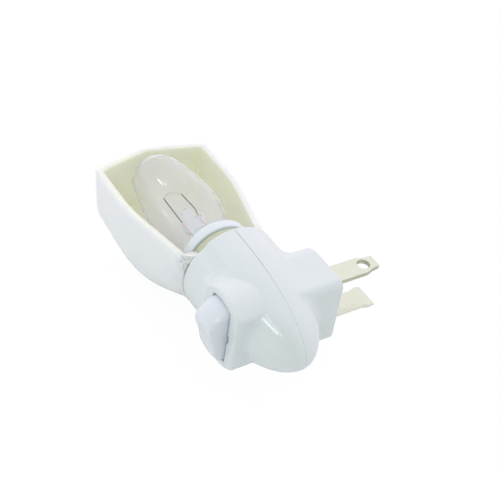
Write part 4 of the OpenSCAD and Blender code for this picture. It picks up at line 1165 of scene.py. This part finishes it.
floor_white = bpy.data.materials.new("floor_white")
floor_white.use_nodes = True
tree = floor_white.node_tree
tree.nodes.clear()
path = tree.nodes.new("ShaderNodeLightPath").outputs
seen = maths(tree, "MAXIMUM", path["Is Camera Ray"], path["Is Transmission Ray"])
paint = add_node(tree, "ShaderNodeBsdfDiffuse", Color=(0.9, 0.9, 0.9, 1)).outputs[0]
glow = add_node(tree, "ShaderNodeEmission", Color=(1, 1, 1, 1), Strength=1.03).outputs[0]
above = mix_shaders(tree, maths(tree, "MULTIPLY", seen, FLOOR_WHITE), paint, glow)
below = tree.nodes.new("ShaderNodeBsdfTransparent").outputs[0]
behind = tree.nodes.new("ShaderNodeNewGeometry").outputs["Backfacing"]
add_node(tree, "ShaderNodeOutputMaterial", Surface=mix_shaders(tree, behind, above, below))
floor_mesh.materials.append(floor_white)
print("floor at x, mm:", round(floor_x, 2))

# %% [markdown]
# ## The room as a light
#
# A white object on a white sheet shows its form only if the room is uneven. The world is white to the
# camera and through glass. As a light it runs from a dim side to a bright one. Mirror-like surfaces see a
# white room with one dim patch, on the side that the camera is on, and that patch gives the glossy
# plastic its depth. An image of a room could do the same, but two directions and four colours are easier
# to change.

# %% World
WHITE = (1.0, 1.0, 1.0, 1)
SKY_NEAR, SKY_FAR, SKY_WAY, SKY_BEND = (0.05, 0.20, 0.09, 1), (1.33, 1.25, 1.31, 1), (0.22, 0.66, 0.72), 0.7
DIM, DIM_FROM, DIM_FULL = (0.25, 0.36, 0.28, 1), 0.78, 0.92

world = bpy.data.worlds.new("world")
bpy.context.scene.world = world
world.use_nodes = True
tree = world.node_tree
path = tree.nodes.new("ShaderNodeLightPath").outputs
seen = maths(tree, "MAXIMUM", path["Is Camera Ray"], path["Is Transmission Ray"])
looked = tree.nodes.new("ShaderNodeTexCoord").outputs["Generated"]


def lean(way):
    """How far the looked-up direction leans towards the given one, from -1 to 1."""
    return add_node(tree, "ShaderNodeVectorMath", looked, way, operation="DOT_PRODUCT").outputs["Value"]


rise = maths(tree, "POWER", maths(tree, "MULTIPLY_ADD", lean(SKY_WAY), 0.5, 0.5), SKY_BEND)
patch = add_node(tree, "ShaderNodeMapRange", Value=lean(camera_back), From_Min=DIM_FROM, From_Max=DIM_FULL)
sky = mix_colours(tree, rise, SKY_NEAR, SKY_FAR)
mirrored = mix_colours(tree, patch.outputs["Result"], WHITE, DIM)
light = mix_colours(tree, path["Is Glossy Ray"], sky, mirrored)
feed(tree, tree.nodes["Background"].inputs["Color"], mix_colours(tree, seen, light, WHITE))
print("world has", len(tree.nodes), "nodes")

# %% [markdown]
# ## Lamps
#
# Four soft boxes stand 450 mm away. A strip and a thin strip draw the two long highlights on the dome, a
# spark gives the bulb its small bright spot, and a broad fill from the front softens the shade's inside. A
# highlight's place follows from the mirror rule: the box stands where a ray from the camera, mirrored at
# the spot on the skin, would go.

# %% Soft boxes
LAMP_DISTANCE = 450
DOME_SPOT, BULB_SPOT = (7.5, -24.4, -10.0), (8.4, -23.8, 51.7)


def soft_lamp(name, way, aim, size, power, up=(0, 0, 1)):
    """A soft box of a size in mm that shines on a point from a given direction, its long side along up."""
    data = bpy.data.lights.new(name, "AREA")
    data.shape = "RECTANGLE"
    data.size, data.size_y = size[0] * MM, size[1] * MM
    data.energy = power
    lamp = bpy.data.objects.new(name, data)
    bpy.context.scene.collection.objects.link(lamp)
    z = unit(np.array(way, float))
    x = unit(np.cross(up, z))
    turn = Matrix(np.array([x, np.cross(z, x), z]).T.tolist()).to_4x4()
    lamp.matrix_world = Matrix.Translation((np.array(aim) + LAMP_DISTANCE * z) * MM) @ turn
    print(name, "size, mm:", size, "power, W:", power)


soft_lamp("strip", (0.683, -0.675, -0.28), DOME_SPOT, (56, 190), 0.20, (0.12, -0.33, 0.94))
soft_lamp("thin_strip", (0.76, -0.555, -0.33), DOME_SPOT, (20, 230), 0.07, (0.354, -0.1, 0.93))
soft_lamp("spark", (0.46, -0.29, 0.83), BULB_SPOT, (16, 34), 0.016)
soft_lamp("fill", (-0.08, -0.92, 0.39), DOME_SPOT, (260, 260), 0.20)
